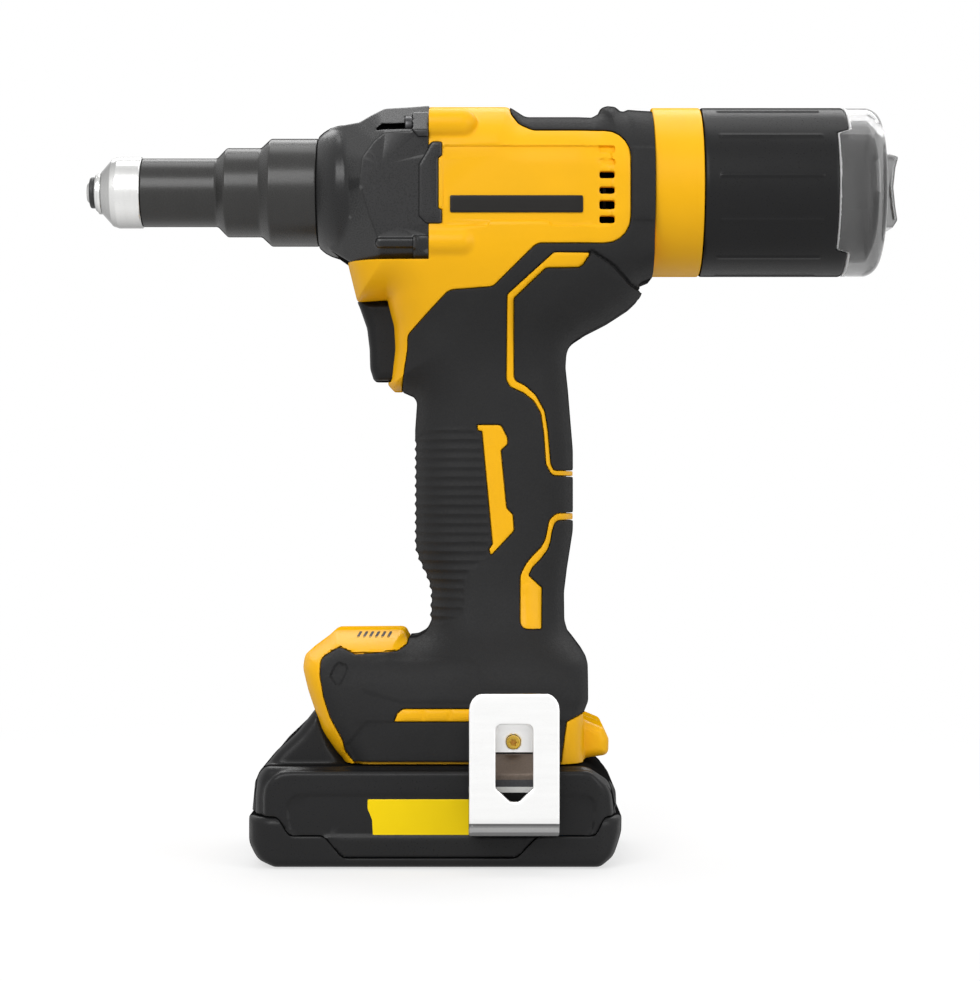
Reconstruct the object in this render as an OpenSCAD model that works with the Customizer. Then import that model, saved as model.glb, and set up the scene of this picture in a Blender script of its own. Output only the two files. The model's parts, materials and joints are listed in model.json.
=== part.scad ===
// Cordless blind-rivet tool with a slide-on battery pack.
// A motor with a hollow shaft drives a planetary stage and a ball nut in line with the barrel.
// The nut draws a hollow screw, its jaw case and the gripped mandrel back, and the spent mandrel
// leaves through the hollow shaft into the collector.
// The tool stands on its battery pack at Z = 0, the nose points along -X, the halves part at Y = 0.

/* [Barrel] */
// Height of the barrel axis above the base
axis_z = 205.5; // [204:0.5:209]
// Distance of the gear case joint in front of the base centre
joint_front = 2; // [0:0.5:4]
// Length of the gear case
case_len = 36; // [35:0.5:40]
// Length of the motor housing, from the gear case joint to the collector mount
upper_len = 70; // [69:0.5:76]
// Width of the motor housing
body_w = 58; // [56:0.5:64]
// Height of the motor housing above the barrel axis
body_top = 26.5; // [25.5:0.1:29]
// Depth of the gear case below the barrel axis
case_drop = 22.8; // [22:0.1:23]
// Corner radius of the motor housing's section
body_corner_r = 16; // [12:0.5:18]
// Depth of the dip along the top of the motor housing
top_dip = 3.4; // [2:0.1:4]

/* [Nose] */
// Radius of the front section of the nose housing
nose_r_front = 10.6; // [10.2:0.1:12]
// Radius of its middle section
nose_r_mid = 13.8; // [13:0.1:15]
// Radius of its rear section
nose_r_rear = 16.7; // [16:0.1:17.5]
// Length of the front section
nose_len_front = 24.5; // [22:0.5:28]
// Length of the middle section
nose_len_mid = 10.5; // [9:0.5:14]
// Length of the rear section
nose_len_rear = 13.6; // [12:0.2:16]
// Length of each taper between the sections
nose_taper = 3.2; // [2:0.2:5]
// Radius of the nose cap
cap_r = 11.1; // [10.8:0.1:12.5]
// Length of the nose cap
cap_len = 12; // [11:0.5:14]
// Radius of the nosepiece's collar
tip_r = 6.7; // [6.2:0.1:7.5]
// Length of the nosepiece in front of the cap
tip_len = 4.2; // [3.6:0.1:6]
// Radius of the nosepiece's mandrel bore
mandrel_r = 1.55; // [1.2:0.05:1.8]

/* [Collector] */
// Radius of the collector and its mount
collector_r = 26.7; // [25:0.1:29]
// Length of the collector mount
mount_len = 15; // [14:0.5:18]
// Length of the collector's sleeve
sleeve_len = 43.7; // [36:0.5:60]
// Length of the clear end cup behind the sleeve
cup_len = 13.8; // [11:0.2:20]
// Wall of the collector
collector_wall = 2.2; // [1.8:0.1:3]
// Height of the finger tab on the cup
tab_h = 23; // [16:0.5:30]

/* [Handle and foot] */
// Length that the outline of the handle and foot follows
foot_len = 90; // [86:0.5:94]
// Width of the foot
foot_w = 66; // [62:0.5:70]
// Place of the handle's middle behind the base centre
handle_back = 18; // [16:0.5:20]
// Thickness of the rubber grip
skin_t = 1.8; // [1.2:0.1:2.2]
// Width of the accent lines that show through the grip
accent_w = 2.4; // [1.6:0.1:3.2]
// Width of the trigger
trigger_w = 18; // [15:0.5:20]
// Height of the trigger
trigger_h = 24.6; // [22:0.2:25]
// Depth of the trigger in front of the handle
trigger_depth = 11.2; // [10:0.2:12.5]
// Travel of the trigger
trigger_travel = 6; // [4:0.5:6.5]

/* [Belt hook] */
// Thickness of the hook's strip
hook_t = 2; // [1.6:0.1:2.4]
// Width of the hook
hook_w = 26.6; // [24:0.2:30]
// Distance between the hook's legs
hook_gap = 8; // [7:0.2:12]

/* [Battery pack] */
// Length of the pack
pack_len = 114; // [112:0.5:118]
// Width of the pack
pack_w = 76; // [74:0.5:80]
// Height of the pack's body
pack_h = 30; // [29:0.2:31]
// Height of the lower shell
tray_h = 14.6; // [13:0.2:17]
// Wall of the pack's shells
pack_wall = 2.2; // [1.8:0.1:2.4]
// Height of the slide rails above the pack's body
rail_h = 7.6; // [7:0.1:8]
// Width of the slide rails
rail_w = 44; // [40:0.5:48]
// Diameter of a cell
cell_d = 18.3; // [17:0.1:18.5]
// Length of a cell
cell_len = 65; // [60:0.5:68]
// Travel of the release button
release_travel = 3.5; // [2:0.1:4]

/* [Mechanism] */
// Pull of the screw
stroke = 25; // [20:0.5:26]
// Module of the gears
gear_module = 0.65; // [0.6:0.01:0.67]
// Radius of the ball nut
nut_r = 13; // [12:0.1:13.5]
// Length of the ball nut
nut_len = 22; // [18:0.5:23]
// Radius of the screw
screw_r = 7; // [6.4:0.1:7.2]
// Radius of the jaw case
jaw_case_r = 7.8; // [7.6:0.05:8]
// Length of the jaw case
jaw_case_len = 37; // [36:0.5:38]
// Radius of the mandrel tube
tube_r = 2.25; // [2.2:0.05:2.4]
// Radius of the mandrel's passage through the open jaws and the tube
passage_r = 1.9; // [1.8:0.05:1.95]
// Radius of the motor shaft
shaft_r = 4; // [3.6:0.05:4.4]
// Radius of the ring gear
ring_gear_r = 20; // [19.6:0.1:20.4]
// Radius of the stator
stator_r = 19; // [18:0.1:19.4]
// Length of the stator's stack
stator_len = 14; // [10:0.5:15]

/* [Fits] */
// Clearance between fixed pieces that seat in each other
seat_gap = 0.1; // [0.05:0.01:0.2]
// Clearance between running pieces
run_gap = 0.3; // [0.2:0.05:0.4]
// Half of the clearance between the two halves of the housing
split_gap = 0.05; // [0.02:0.01:0.1]

/* [Hidden] */
$fn = 72;
// Overrun of every cut past the face that it opens
over = 1;
// Steps of a rounded corner of an outline
arc_steps = 6;
// Steps of a loft's half section
section_steps = 14;
// Steps of a spring's turn, and sides of its wire
coil_steps = 8;
coil_sides = 6;
// Height past which nothing of the tool reaches
far = 2 * axis_z;

// Places along the barrel
joint_x = -joint_front;
case_x = joint_x - case_len;
nose_len = nose_len_front + nose_len_mid + nose_len_rear + 2 * nose_taper;
nose_x = case_x - nose_len;
cap_x = nose_x - cap_len;
tip_x = cap_x - tip_len;
mount_x = joint_x + upper_len;
sleeve_x = mount_x + mount_len;
cup_x = sleeve_x + sleeve_len;

// Gear case
case_flange_t = 4.5;
case_snout_len = 10;
case_snout_r = 12.5;
case_shoulder_r = 20.6;
case_dome_len = 5;
case_lip_r = nose_r_rear + seat_gap;
case_ramp_len = 11;
case_tongue_len = 4;
case_tongue_h = 27;
case_wall = 5;
case_side_in = 2;
boss_y_share = 0.388;
boss_z_share = 0.67;
boss_r = 4.7;
boss_len = 20;
boss_tail = 12;
case_screw_r = 1.9;
case_screw_head_r = 3.3;
case_screw_head_len = 2.4;
boss_y = boss_y_share * body_w;
boss_z = boss_z_share * body_top;

// Drive line
thrust_len = 3.5;
thrust_x = case_x + case_flange_t;
nut_x = thrust_x + thrust_len;
nut_end = nut_x + nut_len;
nut_bearing_len = 4;
nut_bearing_r = 18;
screw_proud = 1;
stop_gap = 1;
jaw_case_end = thrust_x - stroke - stop_gap;
jaw_case_x = jaw_case_end - jaw_case_len;
key_len = 4;
key_w = 4;
key_h = 2.2;
screw_thread_len = 8;
screw_x = jaw_case_end - screw_thread_len;
screw_end = nut_end + screw_proud;
carrier_x = screw_end + stroke + run_gap;
carrier_t = 2.5;
drum_r = 11;
gear_face = 6;
gear_x = carrier_x + carrier_t + run_gap;
ring_gear_lead = 1;
ring_gear_x = gear_x - ring_gear_lead;
ring_gear_len = gear_face + 2 * ring_gear_lead;
plate_x = ring_gear_x + ring_gear_len;
plate_t = 4.5;
bearing_r = 8.5;
bearing_len = 4;
coil_end = 2;
stator_x = plate_x + plate_t + coil_end;
rotor_gap = 0.5;
rotor_r = 10.8;
fan_x = stator_x + stator_len + coil_end + run_gap;
fan_len = 6;
fan_r = stator_r - run_gap;
fan_hub_r = 7;
fan_blades = 12;
fan_blade_t = 1;
rear_web_x = fan_x + fan_len + run_gap;
web_lip = 0.5;
rear_bearing_x = rear_web_x + web_lip;
mount_spigot_len = 4;
mount_spigot_r = 20;
shaft_x = gear_x;
shaft_end = rear_bearing_x + bearing_len;
tube_x = screw_end - screw_thread_len;
tube_end = mount_x - web_lip;
shaft_bore_r = tube_r + run_gap;

// Gears: one sun, three planets, one fixed ring
sun_teeth = 12;
planet_teeth = 21;
ring_teeth = sun_teeth + 2 * planet_teeth;
planets = 3;
pressure_angle = 25;
gear_slack = 0.16;
addendum_share = 1;
dedendum_share = 1.25;
flank_steps = 4;
planet_orbit = gear_module * (sun_teeth + planet_teeth) / 2;
pin_r = 2;

// Jaws
jaw_angle = 7;
jaw_len = 14;
jaw_side_gap = 0.9;
jaw_gap = 0.3;
jaw_bore_r = passage_r;
jaw_mouth_r = 4.2;
jaw_nose_lip = 2.5;
pusher_len = 8;
pusher_gap = 0.3;
jaw_x = jaw_case_x + jaw_nose_lip;
pusher_x = jaw_x + jaw_len + pusher_gap;
cone_end = jaw_x + jaw_len + pusher_len / 2;
cone_end_r = jaw_mouth_r + (cone_end - jaw_case_x) * tan(jaw_angle);
pusher_r = cone_end_r - run_gap - pusher_len * tan(jaw_angle);
jaw_spring_wire = 0.9;

// Heights of the lower body
foot_gap = 1;
foot_z = pack_h + foot_gap;
seam_drop = 12;
seam_z = axis_z - seam_drop;
lower_h = seam_z - foot_z;
handle_x = handle_back;
joint_share = (joint_x - handle_x) / foot_len;
mount_share = (mount_x - handle_x) / foot_len;
upper_half_share = body_w / foot_w / 2;
case_floor_z = axis_z - case_drop;
case_gap = 0.6;
case_floor_share = (case_floor_z - case_gap - foot_z) / lower_h;
above_case_share = (case_floor_z - foot_z) / lower_h;

// Back of the trigger, top of the trigger, and the hump's way out from the handle to the mount
trigger_back_share = -0.356;
trigger_top_share = 0.864;
hump_shares = [0.576, 0.688, 0.826, 0.851, 0.9, 0.97];
// Front of the lower body under the gear case, as shares of the case's length in front of the joint
under_case_shares = [0.64, 0.675, 0.7];
under_case = [for (s = under_case_shares) joint_share - s * case_len / foot_len];
// Stations of the lower body from the foot up: height, front, back, half width, then the squareness
station_shares = [
    [0, -0.517, 0.294, 0.477, 5], [0.022, -0.57, 0.316, 0.492, 5], [0.098, -0.628, 0.32, 0.5, 5],
    [0.157, -0.666, 0.318, 0.485, 4.5], [0.195, -0.656, 0.296, 0.439, 4], [0.203, -0.356, 0.287, 0.402, 3.6],
    [0.215, -0.289, 0.271, 0.364, 3.4], [0.234, -0.233, 0.247, 0.33, 3.2], [0.252, -0.218, 0.237, 0.309, 3],
    [0.31, -0.218, 0.237, 0.294, 2.8], [0.348, -0.242, 0.243, 0.288, 2.8],
    [0.387, -0.273, 0.251, 0.282, 2.8], [0.425, -0.273, 0.268, 0.279, 2.8],
    [0.578, -0.273, 0.268, 0.273, 2.8], [0.676, -0.267, 0.254, 0.276, 2.8],
    [0.695, -0.333, 0.253, 0.282, 3], [0.714, trigger_back_share, 0.251, 0.288, 3],
    [0.772, trigger_back_share, 0.244, 0.303, 3],
    [0.791, -0.353, 0.268, 0.312, 3], [0.81, -0.353, hump_shares[0] * mount_share, 0.327, 3.2],
    [0.83, -0.353, hump_shares[1] * mount_share, 0.348, 3.4],
    [0.858, -0.353, hump_shares[2] * mount_share, 0.373, 3.6],
    [trigger_top_share, under_case[0], hump_shares[3] * mount_share, 0.379, 3.8],
    [0.898, under_case[1], hump_shares[4] * mount_share, 0.409, 4],
    [case_floor_share, under_case[2], hump_shares[5] * mount_share, 0.424, 5],
    [above_case_share, joint_share, mount_share, 0.426, 7],
    [1, joint_share, mount_share, upper_half_share, 9]];

// Outlines seen from the side, as shares of the foot's length and of the lower body's height;
// the window's places along the barrel are shares of the motor housing's length
window_shares = [[-0.6, 1.3], [0.336, 1.3], [0.394, 1.183], [0.874, 1.183], [0.874, 0.961], [0.45, 0.961],
    [0.269, 0.872], [0.079, 0.872], [-0.099, 0.785], [-0.108, 0.679], [-0.6, 0.679]];
foot_front_shares = [[-0.3, 0.25], [-0.3, 0.205], [-0.49, 0.197], [-0.584, 0.188], [-0.584, 0.154],
    [-0.567, 0.11], [-0.5, 0.031], [-0.494, -0.01], [-0.8, -0.01], [-0.8, 0.25]];
accent_head_shares = [[0.2, 0.953], [0.316, 0.953], [0.301, 0.928], [0.13, 0.928]];
upper_accent_shares = [[0.142, 0.93], [0.061, 0.87], [0.049, 0.855], [0.049, 0.72], [0.064, 0.702],
    [0.139, 0.673], [0.167, 0.647], [0.18, 0.557], [0.193, 0.534], [0.36, 0.534]];
lower_accent_shares = [[0.36, 0.452], [0.207, 0.452], [0.183, 0.426], [0.173, 0.403], [0.132, 0.371],
    [0.1, 0.348], [0.1, 0.32]];
accent_block_shares = [[0.084, 0.334], [0.156, 0.334], [0.156, 0.244], [0.084, 0.244]];
inlay_shares = [[-0.058, 0.615], [0.031, 0.618], [0.034, 0.486], [0.061, 0.443], [-0.02, 0.38],
    [-0.011, 0.412]];
foot_strip_shares = [[-0.333, 0.098], [-0.083, 0.098], [-0.083, 0.076], [-0.315, 0.076]];
heel_zone_shares = [[0.237, 0.084], [0.5, 0.084], [0.5, -0.01], [0.237, -0.01]];
heel_shares = [[0.27, 0.012], [0.27, 0.092], [0.333, 0.086], [0.367, 0.062], [0.372, 0.037], [0.364, 0.018]];
pad_shares = [[-0.597, 0.19], [-0.556, 0.234], [-0.311, 0.236], [-0.27, 0.19]];
dish_x_share = 0.36;
dish_z_share = 0.24;
line_r = 3;
heel_w_share = 0.7;
pad_w_share = 0.48;
dish_r = 45;

// Top of the motor housing, as shares of its length
dip_shares = [0.33, 0.42, 0.73, 0.78];
vent_x_share = 0.74;
vent_len = 4.2;
vent_h = 2.4;
vent_pitch = 4.8;
vents = 6;

// Screws that join the halves: places in shares of the foot's length and the lower body's height,
// and behind the motor in shares of the motor housing's length
housing_screw_shares = [[-0.33, 0.9], [-0.055, 0.905], [-0.222, 0.677], [0.183, 0.498], [-0.47, 0.142],
    [0.2, 0.166]];
upper_screw_shares = [[0.9, 1.17], [0.9, 0.975]];
housing_seat_shares = [0.74, 0.8, 0.33, 0.33, 0.9, 0.74, 0.75, 0.74];
housing_screw_r = 1.5;
housing_head_r = 3;
housing_head_len = 2.2;
housing_bite = 8;

// Electrics in the handle
switch_len = 22;
switch_w = 19;
switch_h = 20;
module_len = 22;
module_w = 18;
module_low_share = 0.29;
module_high_share = 0.645;
module_x_share = -0.133;
lead_r = 1.3;
lead_pitch = 5;
terminal_len = 28;
terminal_w = 34;
terminal_h = 9;
terminal_x_share = -0.09;
blade_t = 1;
blade_pitch = 8;
blades = 4;
light_r = 3.2;

// Trigger
trigger_spring_r = 3;
trigger_spring_wire = 0.7;
trigger_bore = 6.5;
trigger_tail = 3;
trigger_edge_r = 1;

// Belt hook
hook_x_share = 0.061;
hook_screw_z = 6.4;
hook_screw_r = 1.9;
hook_screw_len = 9;
hook_hole_r = 1.65;
hook_foot_len = 15;
hook_low_z = 13;
hook_top_z = 22;
hook_bend_r = hook_gap / 2 + hook_t / 2;
hook_offset = 0.4;
hook_corner_r = 5;

// Battery pack
pack_corner_r = 10;
pack_edge_r = 4;
pack_flange = 1;
pack_shoulder = 2.4;
wedge_w_share = 0.7;
wedge_top = 16;
rail_lip = 3;
rail_lip_h = 2.6;
rail_front_share = -0.27;
rail_back_share = 0.33;
rail_stop_gap = 0.6;
rail_mouth = 9;
cell_gap = 0.3;
cell_pitch = cell_d + cell_gap;
cell_floor = pack_wall + seat_gap;
frame_t = 2;
board_t = 1.6;
board_w = 40;
board_len = 70;
release_w = 26;
release_h = 9;
release_z = 17;
release_depth = 7;
release_spring_len = 2 * release_travel;
release_spring_r = 2.6;
release_spring_wire = 0.6;
release_rib_t = 2;
pack_screw_r = 1.5;
pack_screw_head_r = 2.8;
pack_screw_head_len = 2;
pack_screw_in = 7.5;
// As many cells as fit between the pack's screws
cells = floor((pack_len - 2 * (pack_screw_in + pack_screw_r)) / cell_pitch);

// Helper functions for outlines
function unit(v) = v / norm(v);
function spot(share) = [handle_x + share[0] * foot_len, foot_z + share[1] * lower_h];
function spots(shares) = [for (s = shares) spot(s)];
function upper_spots(shares) = [for (s = shares) [joint_x + s[0] * upper_len, spot(s).y]];
function angle_of(v) = atan2(v.y, v.x);
function short_turn(a) = a > 180 ? a - 360 : a < -180 ? a + 360 : a;
function corner(p, q, s, r) = r == 0 ? [q] :
    let (u = unit(p - q), v = unit(s - q), half = acos(u * v) / 2, reach = r / tan(half),
        centre = q + unit(u + v) * r / sin(half), start = angle_of(q + u * reach - centre),
        sweep = short_turn(angle_of(q + v * reach - centre) - start))
    [for (i = [0 : arc_steps]) let (a = start + sweep * i / arc_steps) centre + r * [cos(a), sin(a)]];
function rounded(points, r) = let (n = len(points))
    [for (i = [0 : n - 1]) each corner(points[(i + n - 1) % n], points[i], points[(i + 1) % n], r)];
function side_step(points, i) = let (last = len(points) - 1,
        a = unit(points[max(i, 1)] - points[max(i, 1) - 1]),
        b = unit(points[min(i, last - 1) + 1] - points[min(i, last - 1)]), m = unit(a + b))
    [-m.y, m.x] / (m * a);
function ribbon(points, w) = concat(
    [for (i = [0 : len(points) - 1]) points[i] + side_step(points, i) * w / 2],
    [for (i = [len(points) - 1 : -1 : 0]) points[i] - side_step(points, i) * w / 2]);

// Helper functions for lofts: half sections are chains of points from front to back
function station_z(s) = foot_z + s[0] * lower_h;
function chain(s, inset, side) =
    let (front = handle_x + s[1] * foot_len + inset, back = handle_x + s[2] * foot_len - inset,
        half_w = s[3] * foot_w - inset, power = 2 / s[4])
    [for (i = [0 : section_steps]) let (c = cos(180 * i / section_steps), w = sin(180 * i / section_steps))
        [(front + back) / 2 - (back - front) / 2 * sign(c) * pow(abs(c), power),
        side * max(split_gap, half_w * pow(w, power)), station_z(s)]];
function backward(list) = [for (i = [len(list) - 1 : -1 : 0]) list[i]];
function turned_faces(faces, side) = side < 0 ? faces : [for (f = faces) backward(f)];
// Faces between rings of n points; the diagonals turn over from point number turn_at on
function wall_faces(rings, n, turn_at) = [for (r = [0 : rings - 2]) for (i = [0 : n - 1])
    let (a = r * n + i, b = r * n + (i + 1) % n)
    each i < turn_at ? [[a, a + n, b + n], [a, b + n, b]] : [[a, a + n, b], [b, a + n, b + n]]];
function fan_faces(first, n) = [for (i = [1 : n - 2]) [first, first + i, first + i + 1]];
function strip_faces(first, n) = [for (i = [0 : n / 2 - 2])
    each [[first + i, first + i + 1, first + n - 2 - i], [first + i, first + n - 2 - i, first + n - 1 - i]]];
function flipped(faces) = [for (f = faces) backward(f)];

// Helper functions for gears
function involute(r, base) = r <= base ? 0 : let (t = sqrt(pow(r / base, 2) - 1)) t * 180 / PI - atan(t);
function gear_points(teeth, outer, root, slack) =
    let (pitch = gear_module * teeth / 2, base = pitch * cos(pressure_angle),
        half = 90 / teeth + involute(pitch, base) - slack / pitch * 90 / PI)
    [for (t = [0 : teeth - 1]) for (i = [0 : 2 * flank_steps + 1])
        let (up = i <= flank_steps, k = up ? i : 2 * flank_steps + 1 - i,
            r = root + (outer - root) * k / flank_steps,
            a = t * 360 / teeth + (up ? -1 : 1) * (half - involute(r, base)))
        r * [cos(a), sin(a)]];

// Helper modules
module at_axis(x) {
    translate([x, 0, axis_z]) rotate([0, 90, 0]) children();
}
module rod(x, len, r) {
    at_axis(x) cylinder(h = len, r = r);
}
module tube(x, len, r_out, r_in) {
    difference() {
        rod(x, len, r_out);
        rod(x - over, len + 2 * over, r_in);
    }
}
module turned(profile) {
    at_axis(0) rotate_extrude() polygon(profile);
}
module slab(y0, y1) {
    translate([0, y1, 0]) rotate([90, 0, 0]) linear_extrude(y1 - y0) children();
}
module plan(z0, z1) {
    translate([0, 0, z0]) linear_extrude(z1 - z0) children();
}
module across(x0, x1) {
    translate([x0, 0, 0]) rotate([90, 0, 90]) linear_extrude(x1 - x0) children();
}
module block(low, high) {
    translate(low) cube(high - low);
}
module box_2d(x0, x1, y0, y1, r) {
    translate([x0 + r, y0]) square([x1 - x0 - 2 * r, y1 - y0]);
    translate([x0, y0 + r]) square([x1 - x0, y1 - y0 - 2 * r]);
    for (x = [x0 + r, x1 - r]) for (y = [y0 + r, y1 - r]) translate([x, y]) circle(r);
}
module half_of(side) {
    intersection() {
        children();
        if (side < 0) block([-far, -far, -far], [far, -split_gap, far]);
        else block([-far, split_gap, -far], [far, far, far]);
    }
}
module coil(x, len, r, wire, turns) {
    rings = turns * coil_steps;
    n = coil_sides;
    at_axis(x) polyhedron(
        [for (i = [0 : rings]) for (k = [0 : n - 1])
            let (a = i * 360 / coil_steps, b = k * 360 / n, d = r + wire / 2 * cos(b))
            [d * cos(a), d * sin(a), wire / 2 + (len - wire) * i / rings + wire / 2 * sin(b)]],
        concat(flipped(wall_faces(rings + 1, n, n)), flipped(fan_faces(0, n)), fan_faces(rings * n, n)));
}

// Outer form of the lower body: half of a loft, solid
module lower_half(inset, side) {
    n = section_steps + 1;
    rings = len(station_shares);
    polyhedron([for (s = station_shares) each chain(s, inset, side)],
        turned_faces(concat(wall_faces(rings, n, n), fan_faces(0, n),
            flipped(fan_faces((rings - 1) * n, n))), side));
}
// Rubber skin of the lower body: the loft's outer chain to its inset one
module lower_skin(side) {
    n = 2 * (section_steps + 1);
    rings = len(station_shares);
    polyhedron([for (s = station_shares) each concat(chain(s, 0, side), backward(chain(s, skin_t, side)))],
        turned_faces(concat(wall_faces(rings, n, n / 2), strip_faces(0, n),
            flipped(strip_faces((rings - 1) * n, n))), side));
}
// Outer form of the motor housing above the seam
module upper_form(inset) {
    top = axis_z + body_top - inset;
    dips = [for (s = dip_shares) joint_x + s * upper_len];
    intersection() {
        at_axis(joint_x) linear_extrude(upper_len)
            box_2d(inset - body_top, body_top, inset - body_w / 2, body_w / 2 - inset, body_corner_r - inset);
        slab(-far, far) polygon([[joint_x - over, seam_z], [joint_x - over, top], [dips[0], top],
            [dips[1], top - top_dip], [dips[2], top - top_dip], [dips[3], top], [mount_x + over, top],
            [mount_x + over, seam_z]]);
    }
}
// Yellow areas of the side view, which the rubber leaves free
module yellow_zone() {
    polygon(rounded(upper_spots(window_shares), line_r));
    polygon(spots(foot_front_shares));
    polygon(spots(heel_zone_shares));
    polygon(spots(accent_head_shares));
    polygon(ribbon(spots(upper_accent_shares), accent_w));
    polygon(ribbon(spots(lower_accent_shares), accent_w));
    polygon(spots(accent_block_shares));
    polygon(spots(inlay_shares));
    polygon(spots(foot_strip_shares));
}
module housing_screw_places() {
    places = concat(spots(housing_screw_shares), upper_spots(upper_screw_shares));
    for (i = [0 : len(places) - 1]) {
        $seat = housing_seat_shares[i] * body_w / 2;
        translate([places[i].x, $seat, places[i].y]) rotate([-90, 0, 0]) children();
    }
}
// Screw tunnels: clearance through the right half, pilot in the left half, head recess outwards
module housing_screw_holes() {
    housing_screw_places() {
        cylinder(h = body_w, r = housing_head_r + run_gap);
        translate([0, 0, -$seat - housing_bite - over])
            cylinder(h = $seat + housing_bite + 2 * over, r = housing_screw_r + seat_gap);
    }
}
module case_screw_places() {
    for (y = [-boss_y, boss_y]) for (z = [-boss_z, boss_z]) translate([z, y, 0]) children();
}
trigger_back_x = spot([trigger_back_share, 0]).x;
trigger_top_z = station_z([trigger_top_share]) - run_gap;
trigger_low_z = trigger_top_z - trigger_h;
trigger_front_x = trigger_back_x - trigger_depth;
trigger_end_x = trigger_back_x + trigger_tail;
trigger_mid_z = (trigger_top_z + trigger_low_z) / 2;
switch_x = trigger_end_x + trigger_travel + run_gap;
module_z0 = foot_z + module_low_share * lower_h;
module_z1 = foot_z + module_high_share * lower_h;
module_x = handle_x + module_x_share * foot_len;
terminal_x = handle_x + terminal_x_share * foot_len;
terminal_z = pack_h + rail_h + run_gap;
light_spot = spot(pad_shares[0]);
hook_x = handle_x + hook_x_share * foot_len;
hook_screw_place = [hook_x, foot_z + hook_screw_z];
foot_front_x = spot([station_shares[0][1], 0]).x;
rail_x0 = rail_front_share * pack_len;
rail_x1 = rail_back_share * pack_len;

// Hollows of both halves
module housing_hollows() {
    rod(joint_x - over, plate_x + plate_t - joint_x + 2 * over, ring_gear_r + seat_gap);
    rod(plate_x, rear_web_x - plate_x, stator_r + seat_gap);
    rod(rear_web_x - over, bearing_len + web_lip + over, bearing_r + seat_gap);
    rod(rear_web_x, upper_len, tube_r + 2 * run_gap);
    rod(mount_x - mount_spigot_len - seat_gap, mount_spigot_len + over, mount_spigot_r + seat_gap);
    at_axis(joint_x - over) case_screw_places() cylinder(h = boss_tail + over, r = case_screw_r + seat_gap);
    block([trigger_front_x - over, -trigger_w / 2 - run_gap, trigger_low_z - run_gap],
        [switch_x - seat_gap, trigger_w / 2 + run_gap, trigger_top_z + run_gap]);
    block([switch_x - run_gap, -switch_w / 2 - seat_gap, trigger_mid_z - switch_h / 2 - seat_gap],
        [switch_x + switch_len + seat_gap, switch_w / 2 + seat_gap, trigger_mid_z + switch_h / 2 + seat_gap]);
    block([module_x - seat_gap, -module_w / 2 - seat_gap, module_z0 - seat_gap],
        [module_x + module_len + seat_gap, module_w / 2 + seat_gap, module_z1 + seat_gap]);
    block([terminal_x - seat_gap, -terminal_w / 2 - seat_gap, terminal_z - over],
        [terminal_x + terminal_len + seat_gap, terminal_w / 2 + seat_gap,
        terminal_z + terminal_h + seat_gap]);
    lead_channels();
    rail_slot();
    work_light_seat(seat_gap);
    housing_screw_holes();
}
// Slot for the pack's rails, open to the front
module rail_slot() {
    neck = rail_w / 2 - rail_lip + run_gap;
    block([-far, -neck, foot_z - over], [rail_x1 + rail_stop_gap, neck, pack_h + rail_h + run_gap]);
    block([-far, -rail_w / 2 - run_gap, pack_h + rail_lip_h - run_gap],
        [rail_x1 + rail_stop_gap, rail_w / 2 + run_gap, pack_h + rail_h + run_gap]);
    block([-far, -rail_w / 2 - run_gap, foot_z - over],
        [foot_front_x + rail_mouth, rail_w / 2 + run_gap, pack_h + rail_h]);
}
function motor_lead_path(k) =
    let (x = module_x + module_len - 2 * lead_r, reach = abs(k) * (lead_pitch - lead_r),
        top = axis_z - sqrt(pow(stator_r, 2) - pow(reach, 2)) - seat_gap)
    [[x, module_z1], [x, seam_z - 2 * seam_drop], [stator_x + stator_len / 2, axis_z - stator_r - 3 * lead_r],
    [stator_x + stator_len / 2, top]];
module lead_channels() {
    slab(-lead_pitch - lead_r - seat_gap, lead_pitch + lead_r + seat_gap)
        polygon(ribbon(motor_lead_path(1), 2 * (lead_r + seat_gap)));
    for (p = supply_lead_places()) block([p.x - lead_r - seat_gap, -lead_pitch - lead_r, p.y],
        [p.x + lead_r + seat_gap, lead_pitch + lead_r, p.z]);
}
// Straight leads: x, lower end, upper end
function supply_lead_places() = [
    [terminal_x + terminal_len / 2, terminal_z + terminal_h, module_z0],
    [module_x + 2 * lead_r, module_z1, trigger_mid_z - switch_h / 2]];
module work_light_seat(grow) {
    translate([light_spot.x + light_r, 0, light_spot.y + light_r / 2]) rotate([0, -90, 0])
        cylinder(h = 3 * light_r, r = light_r + grow, center = true);
}

// Half of the moulded housing
module housing_half(side) {
    difference() {
        union() {
            lower_half(skin_t, side);
            half_of(side) upper_form(skin_t);
            intersection() {
                lower_half(0, side);
                slab(-far, far) yellow_zone();
            }
            intersection() {
                half_of(side) upper_form(0);
                slab(-far, far) yellow_zone();
            }
            half_of(side) housing_trim();
        }
        housing_hollows();
        case_tongue(seat_gap);
        vent_slots();
        hook_holes(hook_hole_r);
    }
}
// Cooling slots through both sides
module vent_slots() {
    x = joint_x + vent_x_share * upper_len;
    for (i = [0 : vents - 1]) translate([0, 0, axis_z + (i - (vents - 1) / 2) * vent_pitch])
        block([x, -body_w, -vent_h / 2], [x + vent_len, body_w, vent_h / 2]);
}
// Bosses, pad and heel that stand out of the housing
module housing_trim() {
    at_axis(joint_x) case_screw_places() {
        cylinder(h = boss_tail, r = boss_r);
        translate([0, 0, boss_tail]) sphere(boss_r);
    }
    slab(-heel_w_share * foot_w / 2, heel_w_share * foot_w / 2) polygon(spots(heel_shares));
    slab(-pad_w_share * foot_w / 2, pad_w_share * foot_w / 2) polygon(rounded(spots(pad_shares), line_r));
}
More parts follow.
